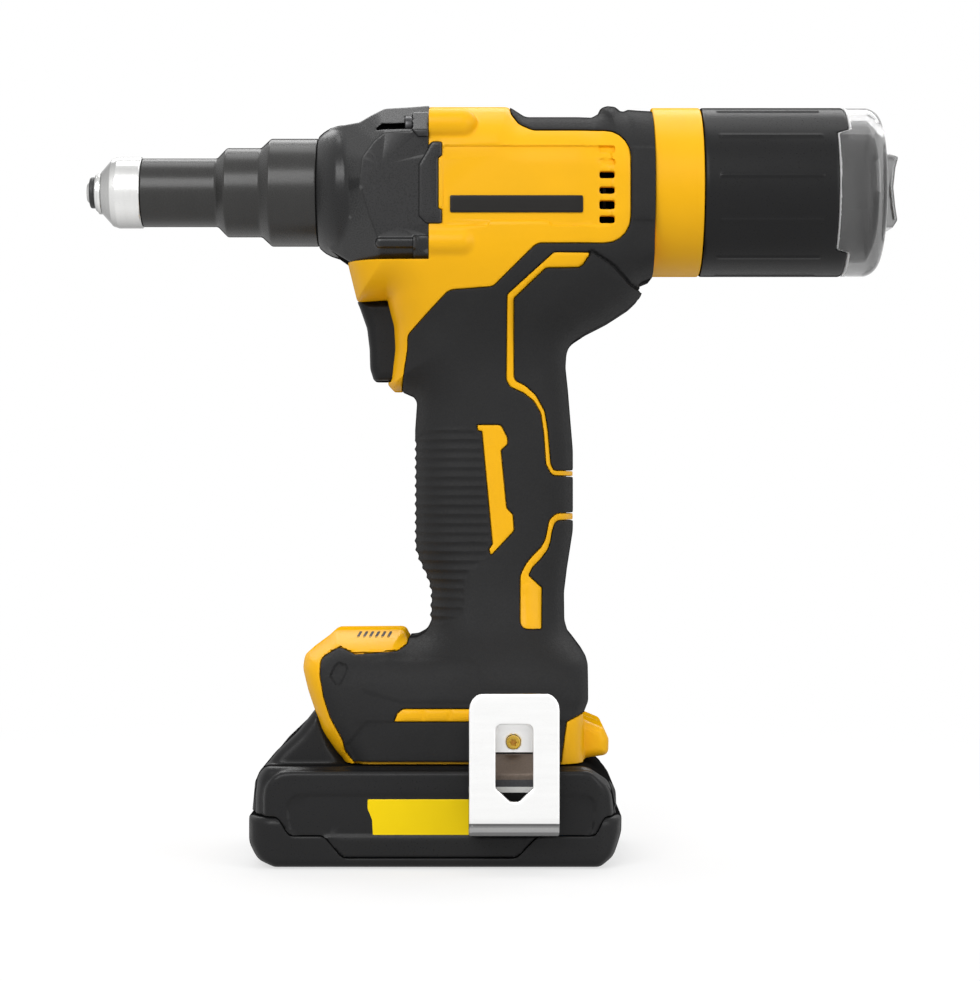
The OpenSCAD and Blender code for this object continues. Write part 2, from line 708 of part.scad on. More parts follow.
// Threaded seats of the belt hook on both sides of the foot
module hook_holes(r) {
    for (side = [-1, 1]) translate([hook_screw_place.x, side * foot_w / 2, hook_screw_place.y])
        rotate([90, 0, 0]) cylinder(h = 2 * hook_screw_len, r = r, center = true);
}
module grip_half(side) {
    difference() {
        union() {
            lower_skin(side);
            half_of(side) difference() {
                upper_form(0);
                upper_form(skin_t);
            }
        }
        slab(-far, far) yellow_zone();
        half_of(side) housing_trim();
        housing_screw_holes();
        hook_holes(2 * hook_screw_r + run_gap);
        block([trigger_front_x - over, -trigger_w / 2 - run_gap, trigger_low_z - run_gap],
            [switch_x, trigger_w / 2 + run_gap, trigger_top_z + run_gap]);
        rail_slot();
        rod(mount_x - mount_spigot_len, upper_len, mount_spigot_r + seat_gap);
    }
}
module housing_left() {
    color("gold") housing_half(-1);
}
module housing_right() {
    color("gold") housing_half(1);
}
module grip_left() {
    color("dimgray") grip_half(-1);
}
module grip_right() {
    color("dimgray") grip_half(1);
}
module housing_screws() {
    color("silver") housing_screw_places() {
        difference() {
            cylinder(h = housing_head_len, r = housing_head_r);
            translate([0, 0, housing_head_len / 2])
                cylinder(h = housing_head_len, r = housing_head_r / 2, $fn = 6);
        }
        translate([0, 0, -$seat - housing_bite])
            cylinder(h = $seat + housing_bite, r = housing_screw_r);
    }
}

// Gear case and its screws
module case_tongue(grow) {
    for (side = [-1, 1]) intersection() {
        at_axis(joint_x - over) linear_extrude(case_tongue_len + over + grow)
            box_2d(-body_top - grow, body_top + grow, -body_w / 2 - grow, body_w / 2 + grow,
                body_corner_r + grow);
        translate([0, side * (body_w - case_wall) / 2, axis_z])
            block([-far, -case_wall / 2 - grow, -case_tongue_h / 2 - grow],
                [far, case_wall / 2 + grow, case_tongue_h / 2 + grow]);
    }
}
module case_block() {
    block_x = case_x + case_dome_len;
    ramp_x = block_x + case_dome_len;
    intersection() {
        at_axis(block_x) linear_extrude(joint_x - block_x)
            box_2d(-body_top, case_drop, -body_w / 2, body_w / 2, body_corner_r);
        slab(-far, far) polygon([[block_x, axis_z - case_shoulder_r], [block_x, axis_z + case_shoulder_r],
            [ramp_x, axis_z + case_shoulder_r], [ramp_x + case_ramp_len, axis_z + body_top - seat_gap],
            [joint_x, axis_z + body_top], [joint_x, axis_z - case_drop], [ramp_x, axis_z - case_drop]]);
        plan(0, far) polygon([[block_x, -case_shoulder_r],
            [ramp_x + case_ramp_len, case_side_in - body_w / 2], [joint_x, -body_w / 2],
            [joint_x, body_w / 2], [ramp_x + case_ramp_len, body_w / 2 - case_side_in],
            [block_x, case_shoulder_r]]);
    }
}
module gear_case() {
    dome = case_shoulder_r - case_lip_r;
    color("dimgray") difference() {
        union() {
            turned([[0, case_x - case_snout_len], [case_snout_r, case_x - case_snout_len],
                [case_snout_r, case_x], [case_lip_r, case_x], [case_lip_r + dome / 2, case_x + dome / 4],
                [case_shoulder_r - dome / 4, case_x + case_dome_len / 2],
                [case_shoulder_r, case_x + case_dome_len], [case_shoulder_r, joint_x], [0, joint_x]]);
            case_block();
            case_tongue(0);
            at_axis(joint_x - boss_len) case_screw_places() cylinder(h = boss_len, r = boss_r);
        }
        rod(case_x - case_snout_len - over, case_len, jaw_case_r + run_gap);
        keyways(case_x - case_snout_len - over, thrust_x - case_x + case_snout_len + over);
        rod(thrust_x, case_len, nut_r + run_gap);
        rod(nut_end - nut_bearing_len, case_len, nut_bearing_r + seat_gap);
        rod(nut_end, case_len, ring_gear_r - over);
        at_axis(joint_x - boss_len - over) case_screw_places() {
            cylinder(h = case_len, r = case_screw_r + seat_gap);
            cylinder(h = case_screw_head_len + over, r = case_screw_head_r + seat_gap);
        }
    }
}
module keyways(x, len) {
    for (side = [-1, 1]) translate([x, side * jaw_case_r, axis_z])
        block([0, -key_h - run_gap, -key_w / 2 - run_gap], [len, key_h + run_gap, key_w / 2 + run_gap]);
}
module case_screws() {
    color("silver") at_axis(joint_x - boss_len) case_screw_places() {
        difference() {
            cylinder(h = case_screw_head_len, r = case_screw_head_r);
            translate([0, 0, -over]) cylinder(h = case_screw_head_len / 2 + over, r = case_screw_r, $fn = 6);
        }
        cylinder(h = boss_len + boss_tail - over, r = case_screw_r);
    }
}

// Nose
module nose_housing() {
    x1 = nose_x + nose_len_front;
    x2 = x1 + nose_taper;
    x3 = x2 + nose_len_mid;
    x4 = x3 + nose_taper;
    color("dimgray") difference() {
        turned([[0, nose_x], [nose_r_front - seat_gap, nose_x], [nose_r_front, nose_x + nose_taper],
            [nose_r_front, x1], [nose_r_mid, x2], [nose_r_mid, x3], [nose_r_rear, x4], [nose_r_rear, case_x],
            [0, case_x]]);
        rod(nose_x - over, nose_len + 2 * over, jaw_case_r + run_gap);
        keyways(jaw_case_end - key_len - run_gap, nose_len);
        rod(case_x - case_snout_len - seat_gap, nose_len, case_snout_r + seat_gap);
    }
}
cap_cone = 3.7;
cap_wall = 4;
cap_thread_r = 5;
module nose_cap() {
    color("silver") difference() {
        turned([[0, cap_x], [tip_r, cap_x], [cap_r - seat_gap, cap_x + cap_cone],
            [cap_r, cap_x + cap_cone + seat_gap], [cap_r, nose_x], [0, nose_x]]);
        rod(cap_x - over, cap_len, cap_thread_r + seat_gap);
        rod(cap_x + cap_wall, cap_len, jaw_case_r + run_gap);
    }
}
spigot_len = 5;
seal_w = 1.4;
seal_r = 0.9;
tip_dome_r = 4.6;
module nosepiece() {
    collar = tip_len / 2;
    color("lightgray") difference() {
        turned([[0, tip_x], [mandrel_r + seal_r, tip_x], [tip_dome_r - seal_r / 2, tip_x + seal_r / 2],
            [tip_dome_r, tip_x + collar - seal_w], [tip_dome_r - seal_r, tip_x + collar - seal_w],
            [tip_dome_r - seal_r, tip_x + collar], [tip_r - seal_r / 2, tip_x + collar],
            [tip_r, tip_x + collar + seal_r / 2], [tip_r, cap_x], [cap_thread_r, cap_x],
            [cap_thread_r, cap_x + cap_wall], [jaw_mouth_r - 2 * run_gap, cap_x + cap_wall + over],
            [jaw_mouth_r - 2 * run_gap, jaw_x - 3 * run_gap], [mandrel_r + seal_r, jaw_x - run_gap],
            [0, jaw_x - run_gap]]);
        rod(tip_x - over, tip_len + cap_len + spigot_len, mandrel_r);
    }
}
module nosepiece_seal() {
    x = tip_x + tip_len / 2 - seal_w;
    color("black") tube(x, seal_w, tip_dome_r + seal_r / 2, tip_dome_r - seal_r + split_gap);
}

// Jaw case, jaws, pusher and spring
module jaw_case() {
    color("silver") difference() {
        union() {
            rod(jaw_case_x, jaw_case_len, jaw_case_r);
            for (side = [-1, 1]) translate([jaw_case_end - key_len, side * jaw_case_r, axis_z])
                block([0, -key_h, -key_w / 2], [key_len, key_h, key_w / 2]);
        }
        turned([[0, jaw_case_x - over], [jaw_mouth_r, jaw_case_x - over], [jaw_mouth_r, jaw_case_x],
            [cone_end_r, cone_end], [cone_end_r, screw_x], [screw_r - over + seat_gap, screw_x],
            [screw_r - over + seat_gap, jaw_case_end + over], [0, jaw_case_end + over]]);
    }
}
function cone_r(x) = jaw_mouth_r + (x - jaw_case_x) * tan(jaw_angle) - jaw_gap;
module jaw(index) {
    wedge = far * [cos(60), sin(60)];
    color("gray") intersection() {
        difference() {
            turned([[0, jaw_x], [cone_r(jaw_x), jaw_x], [cone_r(jaw_x + jaw_len), jaw_x + jaw_len],
                [0, jaw_x + jaw_len]]);
            rod(jaw_x - over, jaw_len + 2 * over, jaw_bore_r);
        }
        at_axis(jaw_x - over) rotate([0, 0, index * 120]) translate([jaw_side_gap / sqrt(3), 0, 0])
            linear_extrude(jaw_len + 2 * over) polygon([[0, 0], [wedge.x, -wedge.y], [wedge.x, wedge.y]]);
    }
}
module jaw_1() {
    jaw(0);
}
module jaw_2() {
    jaw(1);
}
module jaw_3() {
    jaw(2);
}
module jaw_pusher() {
    color("silver") tube(pusher_x, pusher_len, pusher_r, tube_r);
}
jaw_spring_x = pusher_x + pusher_len;
module jaw_spring() {
    color("silver") coil(jaw_spring_x + seat_gap, screw_x - jaw_spring_x - 2 * seat_gap,
        pusher_r - jaw_spring_wire, jaw_spring_wire, 4);
}

// Screw, nut and their bearings
module pull_screw() {
    color("silver") difference() {
        union() {
            rod(jaw_case_end, screw_end - jaw_case_end, screw_r);
            rod(screw_x, screw_thread_len + over, screw_r - over);
        }
        rod(screw_x - over, screw_end - screw_x + 2 * over, shaft_bore_r);
        rod(tube_x, screw_thread_len + over, tube_r + seat_gap);
    }
}
module mandrel_tube() {
    color("silver") tube(tube_x, tube_end - tube_x, tube_r, passage_r);
}
module thrust_bearing() {
    color("silver") difference() {
        tube(thrust_x, thrust_len, nut_r, jaw_case_r + run_gap);
        tube(thrust_x + thrust_len / 3, thrust_len / 3, nut_r + over, nut_r - thrust_len / 4);
    }
}
module ball_nut() {
    color("gray") difference() {
        tube(nut_x, nut_len, nut_r, screw_r + run_gap);
        rod(nut_end - over, 2 * over, drum_r + seat_gap);
    }
}
module nut_bearing() {
    color("silver") tube(nut_end - nut_bearing_len, nut_bearing_len, nut_bearing_r, nut_r + seat_gap);
}
module planet_carrier() {
    color("gray") difference() {
        union() {
            rod(nut_end - over, carrier_x - nut_end + over, drum_r);
            rod(carrier_x, carrier_t, planet_orbit + 2 * pin_r);
        }
        rod(nut_end - 2 * over, carrier_x - nut_end + 3 * over, screw_r + run_gap);
        rod(carrier_x - over, carrier_t + 2 * over, shaft_r + run_gap);
        planet_places() translate([0, 0, carrier_x - over])
            cylinder(h = carrier_t + 2 * over, r = pin_r + split_gap);
    }
}
module planet_places() {
    at_axis(0) for (k = [0 : planets - 1]) rotate([0, 0, k * 360 / planets])
        translate([planet_orbit, 0, 0]) children();
}
module planet_pins() {
    color("silver") planet_places() translate([0, 0, carrier_x])
        cylinder(h = carrier_t + run_gap + gear_face, r = pin_r);
}
addendum = addendum_share * gear_module;
dedendum = dedendum_share * gear_module;
module planet(index) {
    pitch = gear_module * planet_teeth / 2;
    turn = index * 360 / planets;
    color("gray") at_axis(gear_x) rotate([0, 0, turn]) translate([planet_orbit, 0, 0])
        rotate([0, 0, turn * sun_teeth / planet_teeth]) linear_extrude(gear_face) difference() {
            polygon(gear_points(planet_teeth, pitch + addendum, pitch - dedendum, gear_slack));
            circle(pin_r + seat_gap);
        }
}
module planet_1() {
    planet(0);
}
module planet_2() {
    planet(1);
}
module planet_3() {
    planet(2);
}
module ring_gear() {
    pitch = gear_module * ring_teeth / 2;
    color("gray") at_axis(ring_gear_x) linear_extrude(ring_gear_len) difference() {
        circle(ring_gear_r);
        polygon(gear_points(ring_teeth, pitch + dedendum, pitch - addendum, -gear_slack));
    }
}
module bearing_plate() {
    color("silver") difference() {
        rod(plate_x, plate_t, ring_gear_r);
        rod(plate_x - over, plate_t + 2 * over, shaft_r + over);
        rod(plate_x + web_lip, plate_t, bearing_r + split_gap);
        translate([0, 0, -ring_gear_r]) rod(plate_x - over, plate_t + 2 * over, ring_gear_r / 4);
    }
}
module motor_shaft() {
    pitch = gear_module * sun_teeth / 2;
    color("silver") difference() {
        union() {
            at_axis(shaft_x) linear_extrude(plate_x - shaft_x)
                polygon(gear_points(sun_teeth, pitch + addendum, pitch - dedendum, gear_slack));
            rod(plate_x, shaft_end - plate_x, shaft_r);
        }
        rod(shaft_x - over, shaft_end - shaft_x + 2 * over, shaft_bore_r);
    }
}
module rotor_core() {
    color("dimgray") tube(stator_x, stator_len, rotor_r, shaft_r + split_gap);
}
module cooling_fan() {
    color("black") at_axis(fan_x) difference() {
        union() {
            cylinder(h = fan_blade_t, r = fan_r);
            cylinder(h = fan_len, r = fan_hub_r);
            for (k = [0 : fan_blades - 1]) rotate([0, 0, k * 360 / fan_blades])
                translate([fan_hub_r - fan_blade_t, -fan_blade_t / 2, 0])
                    cube([fan_r - fan_hub_r, fan_blade_t, fan_len]);
        }
        translate([0, 0, -over]) cylinder(h = fan_len + 2 * over, r = shaft_r + split_gap);
    }
}
module motor_bearings() {
    color("silver") for (x = [plate_x + web_lip, rear_bearing_x]) difference() {
        tube(x, bearing_len, bearing_r, shaft_r + seat_gap);
        tube(x - over, over + web_lip, bearing_r - web_lip * 2, shaft_r + web_lip * 2);
    }
}
pole_count = 6;
pole_w_share = 0.4;
back_iron = 3.4;
module stator() {
    inner = rotor_r + rotor_gap;
    color("gray") at_axis(stator_x) linear_extrude(stator_len) difference() {
        union() {
            difference() {
                circle(stator_r);
                circle(stator_r - back_iron);
            }
            for (k = [0 : pole_count - 1]) rotate(k * 360 / pole_count)
                translate([inner - web_lip, -pole_w_share * rotor_r / 2])
                    square([stator_r - inner - back_iron / 2, pole_w_share * rotor_r]);
        }
        circle(inner);
    }
}
module windings() {
    inner = rotor_r + 2 * rotor_gap;
    half = pole_w_share * rotor_r / 2 + seat_gap;
    coil_t = 2;
    outer = stator_r - back_iron - 2 * rotor_gap;
    color("peru") at_axis(stator_x) for (k = [0 : pole_count - 1]) rotate([0, 0, k * 360 / pole_count])
        difference() {
            block([inner, -half - coil_t, run_gap - coil_end],
                [outer, half + coil_t, stator_len + coil_end - run_gap]);
            block([inner - over, -half, -seat_gap], [outer + over, half, stator_len + seat_gap]);
        }
}

// Mandrel collector
lug_count = 3;
lug_w = 8;
lug_h = 1.4;
lug_len = 3;
lug_turn = 30;
neck_len = 6.5;
neck_in = 5;
neck_r = collector_r - neck_in;
module lugs(grow, len) {
    at_axis(sleeve_x - neck_len) for (k = [0 : lug_count - 1]) rotate([0, 0, k * 360 / lug_count])
        translate([neck_r - lug_h, -lug_w / 2 - grow, 0]) cube([2 * lug_h, lug_w + 2 * grow, len]);
}
module collector_mount() {
    color("gold") difference() {
        union() {
            rod(mount_x + split_gap, mount_len - split_gap, collector_r);
            rod(mount_x - mount_spigot_len, mount_spigot_len + over, mount_spigot_r);
        }
        rod(sleeve_x - neck_len - seat_gap, mount_len, neck_r + run_gap);
        rod(sleeve_x - neck_len - seat_gap, lug_len + run_gap, neck_r + lug_h + run_gap);
        translate([0, 0, axis_z]) rotate([lug_turn, 0, 0]) translate([0, 0, -axis_z])
            lugs(run_gap, mount_len);
        rod(mount_x + collector_wall, mount_len, neck_r - collector_wall);
        rod(mount_x - mount_len, 2 * mount_len, tube_r + run_gap);
    }
}
sleeve_ribs = 12;
rib_turn = -25;
rib_w = 1;
rib_h = 0.5;
rib_lead = 5;
cup_spigot = 6;
module collector_sleeve() {
    inner = collector_r - collector_wall;
    color("dimgray") difference() {
        union() {
            rod(sleeve_x + run_gap, sleeve_len - run_gap, collector_r);
            rod(sleeve_x - neck_len, neck_len + over, neck_r);
            intersection() {
                lugs(0, lug_len);
                rod(sleeve_x - neck_len, lug_len, neck_r + lug_h);
            }
            at_axis(sleeve_x + rib_lead) for (k = [0 : sleeve_ribs - 1])
                rotate([0, 0, rib_turn + k * 360 / sleeve_ribs]) translate([inner, -rib_w / 2, 0])
                    cube([collector_wall + rib_h, rib_w, sleeve_len - 2 * rib_lead]);
        }
        rod(sleeve_x - neck_len - over, sleeve_len, neck_r - collector_wall);
        rod(sleeve_x + collector_wall, sleeve_len, inner);
    }
}
cup_chamfer = 5;
tab_w = 7;
tab_len = 3.1;
module collector_cup() {
    inner = collector_r - collector_wall;
    end = cup_x + cup_len;
    color([0.3, 0.3, 0.3, 0.6]) union() {
        difference() {
            union() {
                turned([[0, cup_x], [collector_r - seat_gap, cup_x],
                    [collector_r - seat_gap, end - cup_chamfer],
                    [collector_r - cup_chamfer / 3, end - cup_chamfer / 3], [collector_r - cup_chamfer, end],
                    [0, end]]);
                rod(cup_x - cup_spigot, cup_spigot + over, inner - seat_gap);
            }
            turned([[0, cup_x - cup_spigot - over], [inner - collector_wall, cup_x - cup_spigot - over],
                [inner - collector_wall, end - cup_chamfer], [inner - cup_chamfer, end - collector_wall],
                [0, end - collector_wall]]);
        }
        slab(-tab_w / 2, tab_w / 2) polygon(rounded([[end - over / 2, axis_z - tab_h / 2],
            [end + tab_len, axis_z - tab_h / 2], [end + tab_len, axis_z + tab_h / 2],
            [end - over / 2, axis_z + tab_h / 2]], tab_len / 3));
    }
}

// Trigger, its spring and the electrics
module trigger() {
    dish_x = trigger_front_x + dish_x_share * trigger_depth - dish_r;
    color("dimgray") difference() {
        intersection() {
            slab(-trigger_w / 2, trigger_w / 2) difference() {
                polygon(rounded([[trigger_front_x, trigger_top_z], [trigger_end_x, trigger_top_z],
                    [trigger_end_x, trigger_low_z], [trigger_front_x + trigger_depth / 3, trigger_low_z]],
                    trigger_edge_r));
                translate([dish_x, trigger_low_z + dish_z_share * trigger_h]) circle(dish_r);
            }
            plan(0, far) polygon(rounded([[trigger_front_x - over, -trigger_w / 2],
                [trigger_end_x, -trigger_w / 2], [trigger_end_x, trigger_w / 2],
                [trigger_front_x - over, trigger_w / 2]], trigger_tail));
        }
        translate([trigger_end_x - trigger_bore, 0, trigger_mid_z]) rotate([0, 90, 0])
            cylinder(h = trigger_bore + over, r = trigger_spring_r + trigger_spring_wire + run_gap);
    }
}
module trigger_spring() {
    x = trigger_end_x - trigger_bore + seat_gap;
    color("silver") translate([0, 0, trigger_mid_z - axis_z])
        coil(x, switch_x - x - seat_gap, trigger_spring_r, trigger_spring_wire, 6);
}
module switch_module() {
    color("dimgray") block([switch_x, -switch_w / 2, trigger_mid_z - switch_h / 2],
        [switch_x + switch_len, switch_w / 2, trigger_mid_z + switch_h / 2]);
}
module control_module() {
    color("black") block([module_x, -module_w / 2, module_z0],
        [module_x + module_len, module_w / 2, module_z1]);
}
// One lead along points in the XZ plane, swept as a tube
module lead(points) {
    sides = 8;
    polyhedron(
        [for (i = [0 : len(points) - 1]) for (k = [0 : sides - 1])
            let (step = side_step(points, i) * lead_r * cos(k * 360 / sides))
            [points[i].x + step.x, lead_r * sin(k * 360 / sides), points[i].y + step.y]],
        concat(flipped(wall_faces(len(points), sides, sides)), flipped(fan_faces(0, sides)),
            fan_faces((len(points) - 1) * sides, sides)));
}
module motor_leads() {
    color("black") for (k = [-1 : 1]) translate([0, k * lead_pitch, 0]) lead(motor_lead_path(k));
}
module supply_leads() {
    color("firebrick") for (p = supply_lead_places()) for (k = [-1, 1])
        translate([p.x, k * lead_pitch, p.y]) cylinder(h = p.z - p.y, r = lead_r);
}
module terminal_block() {
    color("black") block([terminal_x, -terminal_w / 2, terminal_z],
        [terminal_x + terminal_len, terminal_w / 2, terminal_z + terminal_h]);
    color("goldenrod") for (k = [0 : blades - 1]) translate([0, (k - (blades - 1) / 2) * blade_pitch, 0])
        block([terminal_x + terminal_len / 3, -blade_t / 2, terminal_z - rail_h + rail_lip_h],
            [terminal_x + terminal_len - over, blade_t / 2, terminal_z + over]);
}
module work_light() {
    color("white") intersection() {
        work_light_seat(0);
        slab(-light_r, light_r) polygon(rounded(spots(pad_shares), line_r));
    }
}

// Belt hook
module belt_hook() {
    y0 = -foot_w / 2 - hook_offset - hook_t / 2;
    y1 = min(y0, -pack_w / 2 - hook_offset - hook_t);
    y2 = y1 - 2 * hook_bend_r;
    low = hook_low_z + hook_bend_r;
    top = foot_z + hook_foot_len;
    bend = [for (i = [0 : 2 * arc_steps]) let (a = -180 * i / (2 * arc_steps))
        [y1 - hook_bend_r + hook_bend_r * cos(a), low + hook_bend_r * sin(a)]];
    outline = concat([[y0, top], [y0, foot_z + hook_t], [y1, pack_h - hook_t]], bend,
        [[y2, foot_z + hook_top_z]]);
    color("dimgray") difference() {
        intersection() {
            across(hook_x - hook_w / 2, hook_x + hook_w / 2) polygon(ribbon(outline, hook_t));
            slab(-far, far) polygon(rounded([[hook_x - hook_w / 2, 0], [hook_x + hook_w / 2, 0],
                [hook_x + hook_w / 2, foot_z + hook_top_z], [hook_x - hook_w / 2, foot_z + hook_top_z]],
                hook_corner_r));
        }
        slab(-far, y1 - hook_bend_r) polygon([[hook_x - hook_w / 5, foot_z + hook_top_z / 2],
            [hook_x + hook_w / 5, foot_z + hook_top_z / 2], [hook_x + hook_w / 5, low + hook_w / 4],
            [hook_x, low + hook_t], [hook_x - hook_w / 5, low + hook_w / 4]]);
        translate([hook_screw_place.x, y0, hook_screw_place.y]) rotate([90, 0, 0])
            cylinder(h = 4 * hook_t, r = hook_screw_r + run_gap, center = true);
    }
}
module hook_screw() {
    y = -foot_w / 2 - hook_offset - hook_t;
    color("silver") translate([hook_screw_place.x, y, hook_screw_place.y]) rotate([90, 0, 0]) {
        cylinder(h = hook_t, r = 2 * hook_screw_r);
        translate([0, 0, -hook_screw_len + hook_t]) cylinder(h = hook_screw_len, r = hook_hole_r - split_gap);
    }
}

// Battery pack
module pack_plan(inset) {
    x = pack_len / 2 - inset;
    y = pack_w / 2 - inset;
    box_2d(-x, x, -y, y, pack_corner_r - inset);
}
module battery_lower_shell() {
    half_w = pack_w / 2;
    half_l = pack_len / 2;
    color("dimgray") difference() {
        intersection() {
            plan(0, tray_h - split_gap) pack_plan(0);
            slab(-half_w, half_w) polygon(concat(rounded([[-half_l, tray_h * 2], [-half_l, 0], [half_l, 0],
                [half_l, tray_h * 2]], pack_edge_r)));
            across(-half_l, half_l) polygon(rounded([[-half_w, tray_h * 2], [-half_w, 0], [half_w, 0],
                [half_w, tray_h * 2]], pack_edge_r));
        }
        plan(pack_wall, tray_h + over) pack_plan(pack_flange + pack_wall);
        pack_screw_places() {
            translate([0, 0, -over]) cylinder(h = tray_h + 2 * over, r = pack_screw_r + seat_gap);
            translate([0, 0, -over])
                cylinder(h = pack_screw_head_len + over, r = pack_screw_head_r + seat_gap);
        }
    }
}
module pack_screw_places() {
    for (x = [-1, 1]) for (y = [-1, 1])
        translate([x * (pack_len / 2 - pack_screw_in), y * (pack_w / 2 - pack_screw_in), 0]) children();
}
release_x = -pack_len / 2 + pack_flange;
release_spring_x = release_x + release_depth / 2 + seat_gap;
wedge_shares = [[-0.485, 0.12], [-0.478, 0.31], [-0.465, 0.4], [-0.422, 0.6], [-0.366, 0.79],
    [-0.345, 0.89], [-0.338, 0.89], [-0.31, 0.62], [-0.26, 0.2], [-0.26, 0]];
module battery_upper_shell() {
    inset = pack_flange;
    half_w = pack_w / 2 - inset;
    half_l = pack_len / 2 - inset;
    high = pack_h + wedge_top - tray_h;
    color("dimgray") difference() {
        union() {
            intersection() {
                plan(tray_h, pack_h) pack_plan(inset);
                slab(-half_w, half_w) polygon(rounded([[-half_l, 0], [-half_l + over, pack_h],
                    [half_l - over, pack_h], [half_l, 0]], pack_shoulder));
                across(-half_l, half_l) polygon(rounded([[-half_w, 0], [-half_w + over, pack_h],
                    [half_w - over, pack_h], [half_w, 0]], pack_shoulder));
            }
            slab(-wedge_w_share * pack_w / 2, wedge_w_share * pack_w / 2)
                polygon([for (s = wedge_shares) [s.x * pack_len, tray_h + s.y * high]]);
            block([rail_x0, -rail_w / 2 + rail_lip, pack_h - over],
                [rail_x1, rail_w / 2 - rail_lip, pack_h + rail_h]);
            block([rail_x0, -rail_w / 2, pack_h + rail_lip_h], [rail_x1, rail_w / 2, pack_h + rail_h]);
        }
        plan(0, pack_h - pack_wall) pack_plan(pack_flange + pack_wall);
        for (k = [0 : blades - 1]) translate([0, (k - (blades - 1) / 2) * blade_pitch, 0])
            block([terminal_x + terminal_len / 3 - run_gap, -blade_t / 2 - run_gap,
                pack_h + rail_lip_h - run_gap], [far, blade_t / 2 + run_gap, pack_h + rail_h + over]);
        block([-far, -release_w / 2 - run_gap, release_z - run_gap],
            [-half_l + release_depth, release_w / 2 + run_gap, release_z + release_h + run_gap]);
        pack_screw_places() translate([0, 0, -over])
            cylinder(h = pack_h - pack_wall, r = pack_screw_r + seat_gap);
    }
    color("dimgray") translate([release_spring_x + release_spring_len + seat_gap, 0, 0])
        block([0, -release_h / 2, cell_floor + cell_d],
            [release_rib_t, release_h / 2, pack_h - pack_wall + split_gap]);
    color("dimgray") difference() {
        pack_screw_places() translate([0, 0, tray_h])
            cylinder(h = pack_h - pack_wall - tray_h + split_gap, r = 2 * pack_screw_r);
        pack_screw_places() cylinder(h = pack_h - pack_wall - over, r = pack_screw_r + seat_gap);
    }
}
module battery_screws() {
    color("silver") pack_screw_places() {
        cylinder(h = pack_screw_head_len, r = pack_screw_head_r);
        cylinder(h = pack_h - 2 * pack_wall - over, r = pack_screw_r);
    }
}
module release_button() {
    color("dimgray") difference() {
        block([release_x, -release_w / 2, release_z],
            [release_x + release_depth - 2 * over, release_w / 2, release_z + release_h]);
        translate([release_x + release_depth / 2, 0, release_z + release_h / 2]) rotate([0, 90, 0])
            cylinder(h = release_depth, r = release_spring_r + release_spring_wire + run_gap);
    }
}
module release_spring() {
    color("silver") translate([0, 0, release_z + release_h / 2 - axis_z])
        coil(release_spring_x, release_spring_len, release_spring_r, release_spring_wire, 5);
}
cell_z = cell_floor + cell_d / 2;
module battery_cells() {
    color("steelblue") for (k = [0 : cells - 1])
        translate([(k - (cells - 1) / 2) * cell_pitch, cell_len / 2, cell_z]) rotate([90, 0, 0])
            cylinder(h = cell_len, r = cell_d / 2);
}
module cell_frame() {
    half_l = cells * cell_pitch / 2;
    color("black") difference() {
        for (y = [-1, 1]) translate([0, y * cell_len / 3, 0])
            block([-half_l, -frame_t, cell_z], [half_l, frame_t, cell_floor + cell_d + frame_t]);
        for (k = [0 : cells - 1]) translate([(k - (cells - 1) / 2) * cell_pitch, cell_len, cell_z])
            rotate([90, 0, 0]) cylinder(h = 2 * cell_len, r = cell_d / 2 + split_gap);
    }
}
module battery_board() {
    z = cell_floor + cell_d + frame_t;
    color("darkgreen") block([-board_len / 2, -board_w / 2, z], [board_len / 2, board_w / 2, z + board_t]);
}

housing_left();
housing_right();
grip_left();
grip_right();
housing_screws();
gear_case();
case_screws();
nose_housing();
nose_cap();
nosepiece();
nosepiece_seal();
jaw_case();
jaw_1();
jaw_2();
jaw_3();
jaw_pusher();
jaw_spring();
pull_screw();
mandrel_tube();
thrust_bearing();
ball_nut();
nut_bearing();
planet_carrier();
planet_pins();
planet_1();
planet_2();
planet_3();
ring_gear();
bearing_plate();
motor_shaft();
rotor_core();
cooling_fan();
motor_bearings();
stator();
windings();
collector_mount();
collector_sleeve();
collector_cup();
trigger();
trigger_spring();
switch_module();
control_module();
motor_leads();
supply_leads();
terminal_block();
work_light();
belt_hook();
hook_screw();
battery_lower_shell();
battery_upper_shell();
battery_screws();
release_button();
release_spring();
battery_cells();
cell_frame();
battery_board();
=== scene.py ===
"""Studio view of the cordless rivet tool: moulded shells, turned nose, clear cup and their finishes."""
import functools
import itertools
import json
import math

import bpy
import numpy as np
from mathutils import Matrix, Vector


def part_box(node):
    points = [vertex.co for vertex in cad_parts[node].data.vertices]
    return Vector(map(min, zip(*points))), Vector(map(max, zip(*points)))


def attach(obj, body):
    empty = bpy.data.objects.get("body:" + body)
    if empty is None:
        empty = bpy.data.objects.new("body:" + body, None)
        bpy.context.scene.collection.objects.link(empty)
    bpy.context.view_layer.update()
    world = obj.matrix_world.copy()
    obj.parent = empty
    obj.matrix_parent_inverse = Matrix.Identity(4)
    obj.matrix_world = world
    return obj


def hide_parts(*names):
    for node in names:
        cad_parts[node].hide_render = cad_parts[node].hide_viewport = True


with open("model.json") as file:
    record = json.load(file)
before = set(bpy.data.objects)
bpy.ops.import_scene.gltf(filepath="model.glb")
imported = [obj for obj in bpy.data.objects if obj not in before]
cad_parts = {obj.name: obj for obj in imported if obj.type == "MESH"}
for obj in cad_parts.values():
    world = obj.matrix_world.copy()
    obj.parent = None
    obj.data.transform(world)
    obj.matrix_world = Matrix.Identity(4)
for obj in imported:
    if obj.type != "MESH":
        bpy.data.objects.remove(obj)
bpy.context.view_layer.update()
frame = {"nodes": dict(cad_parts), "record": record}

# Lengths are millimetres up to the studio, which is in metres; MM turns them into metres
MM = 0.001

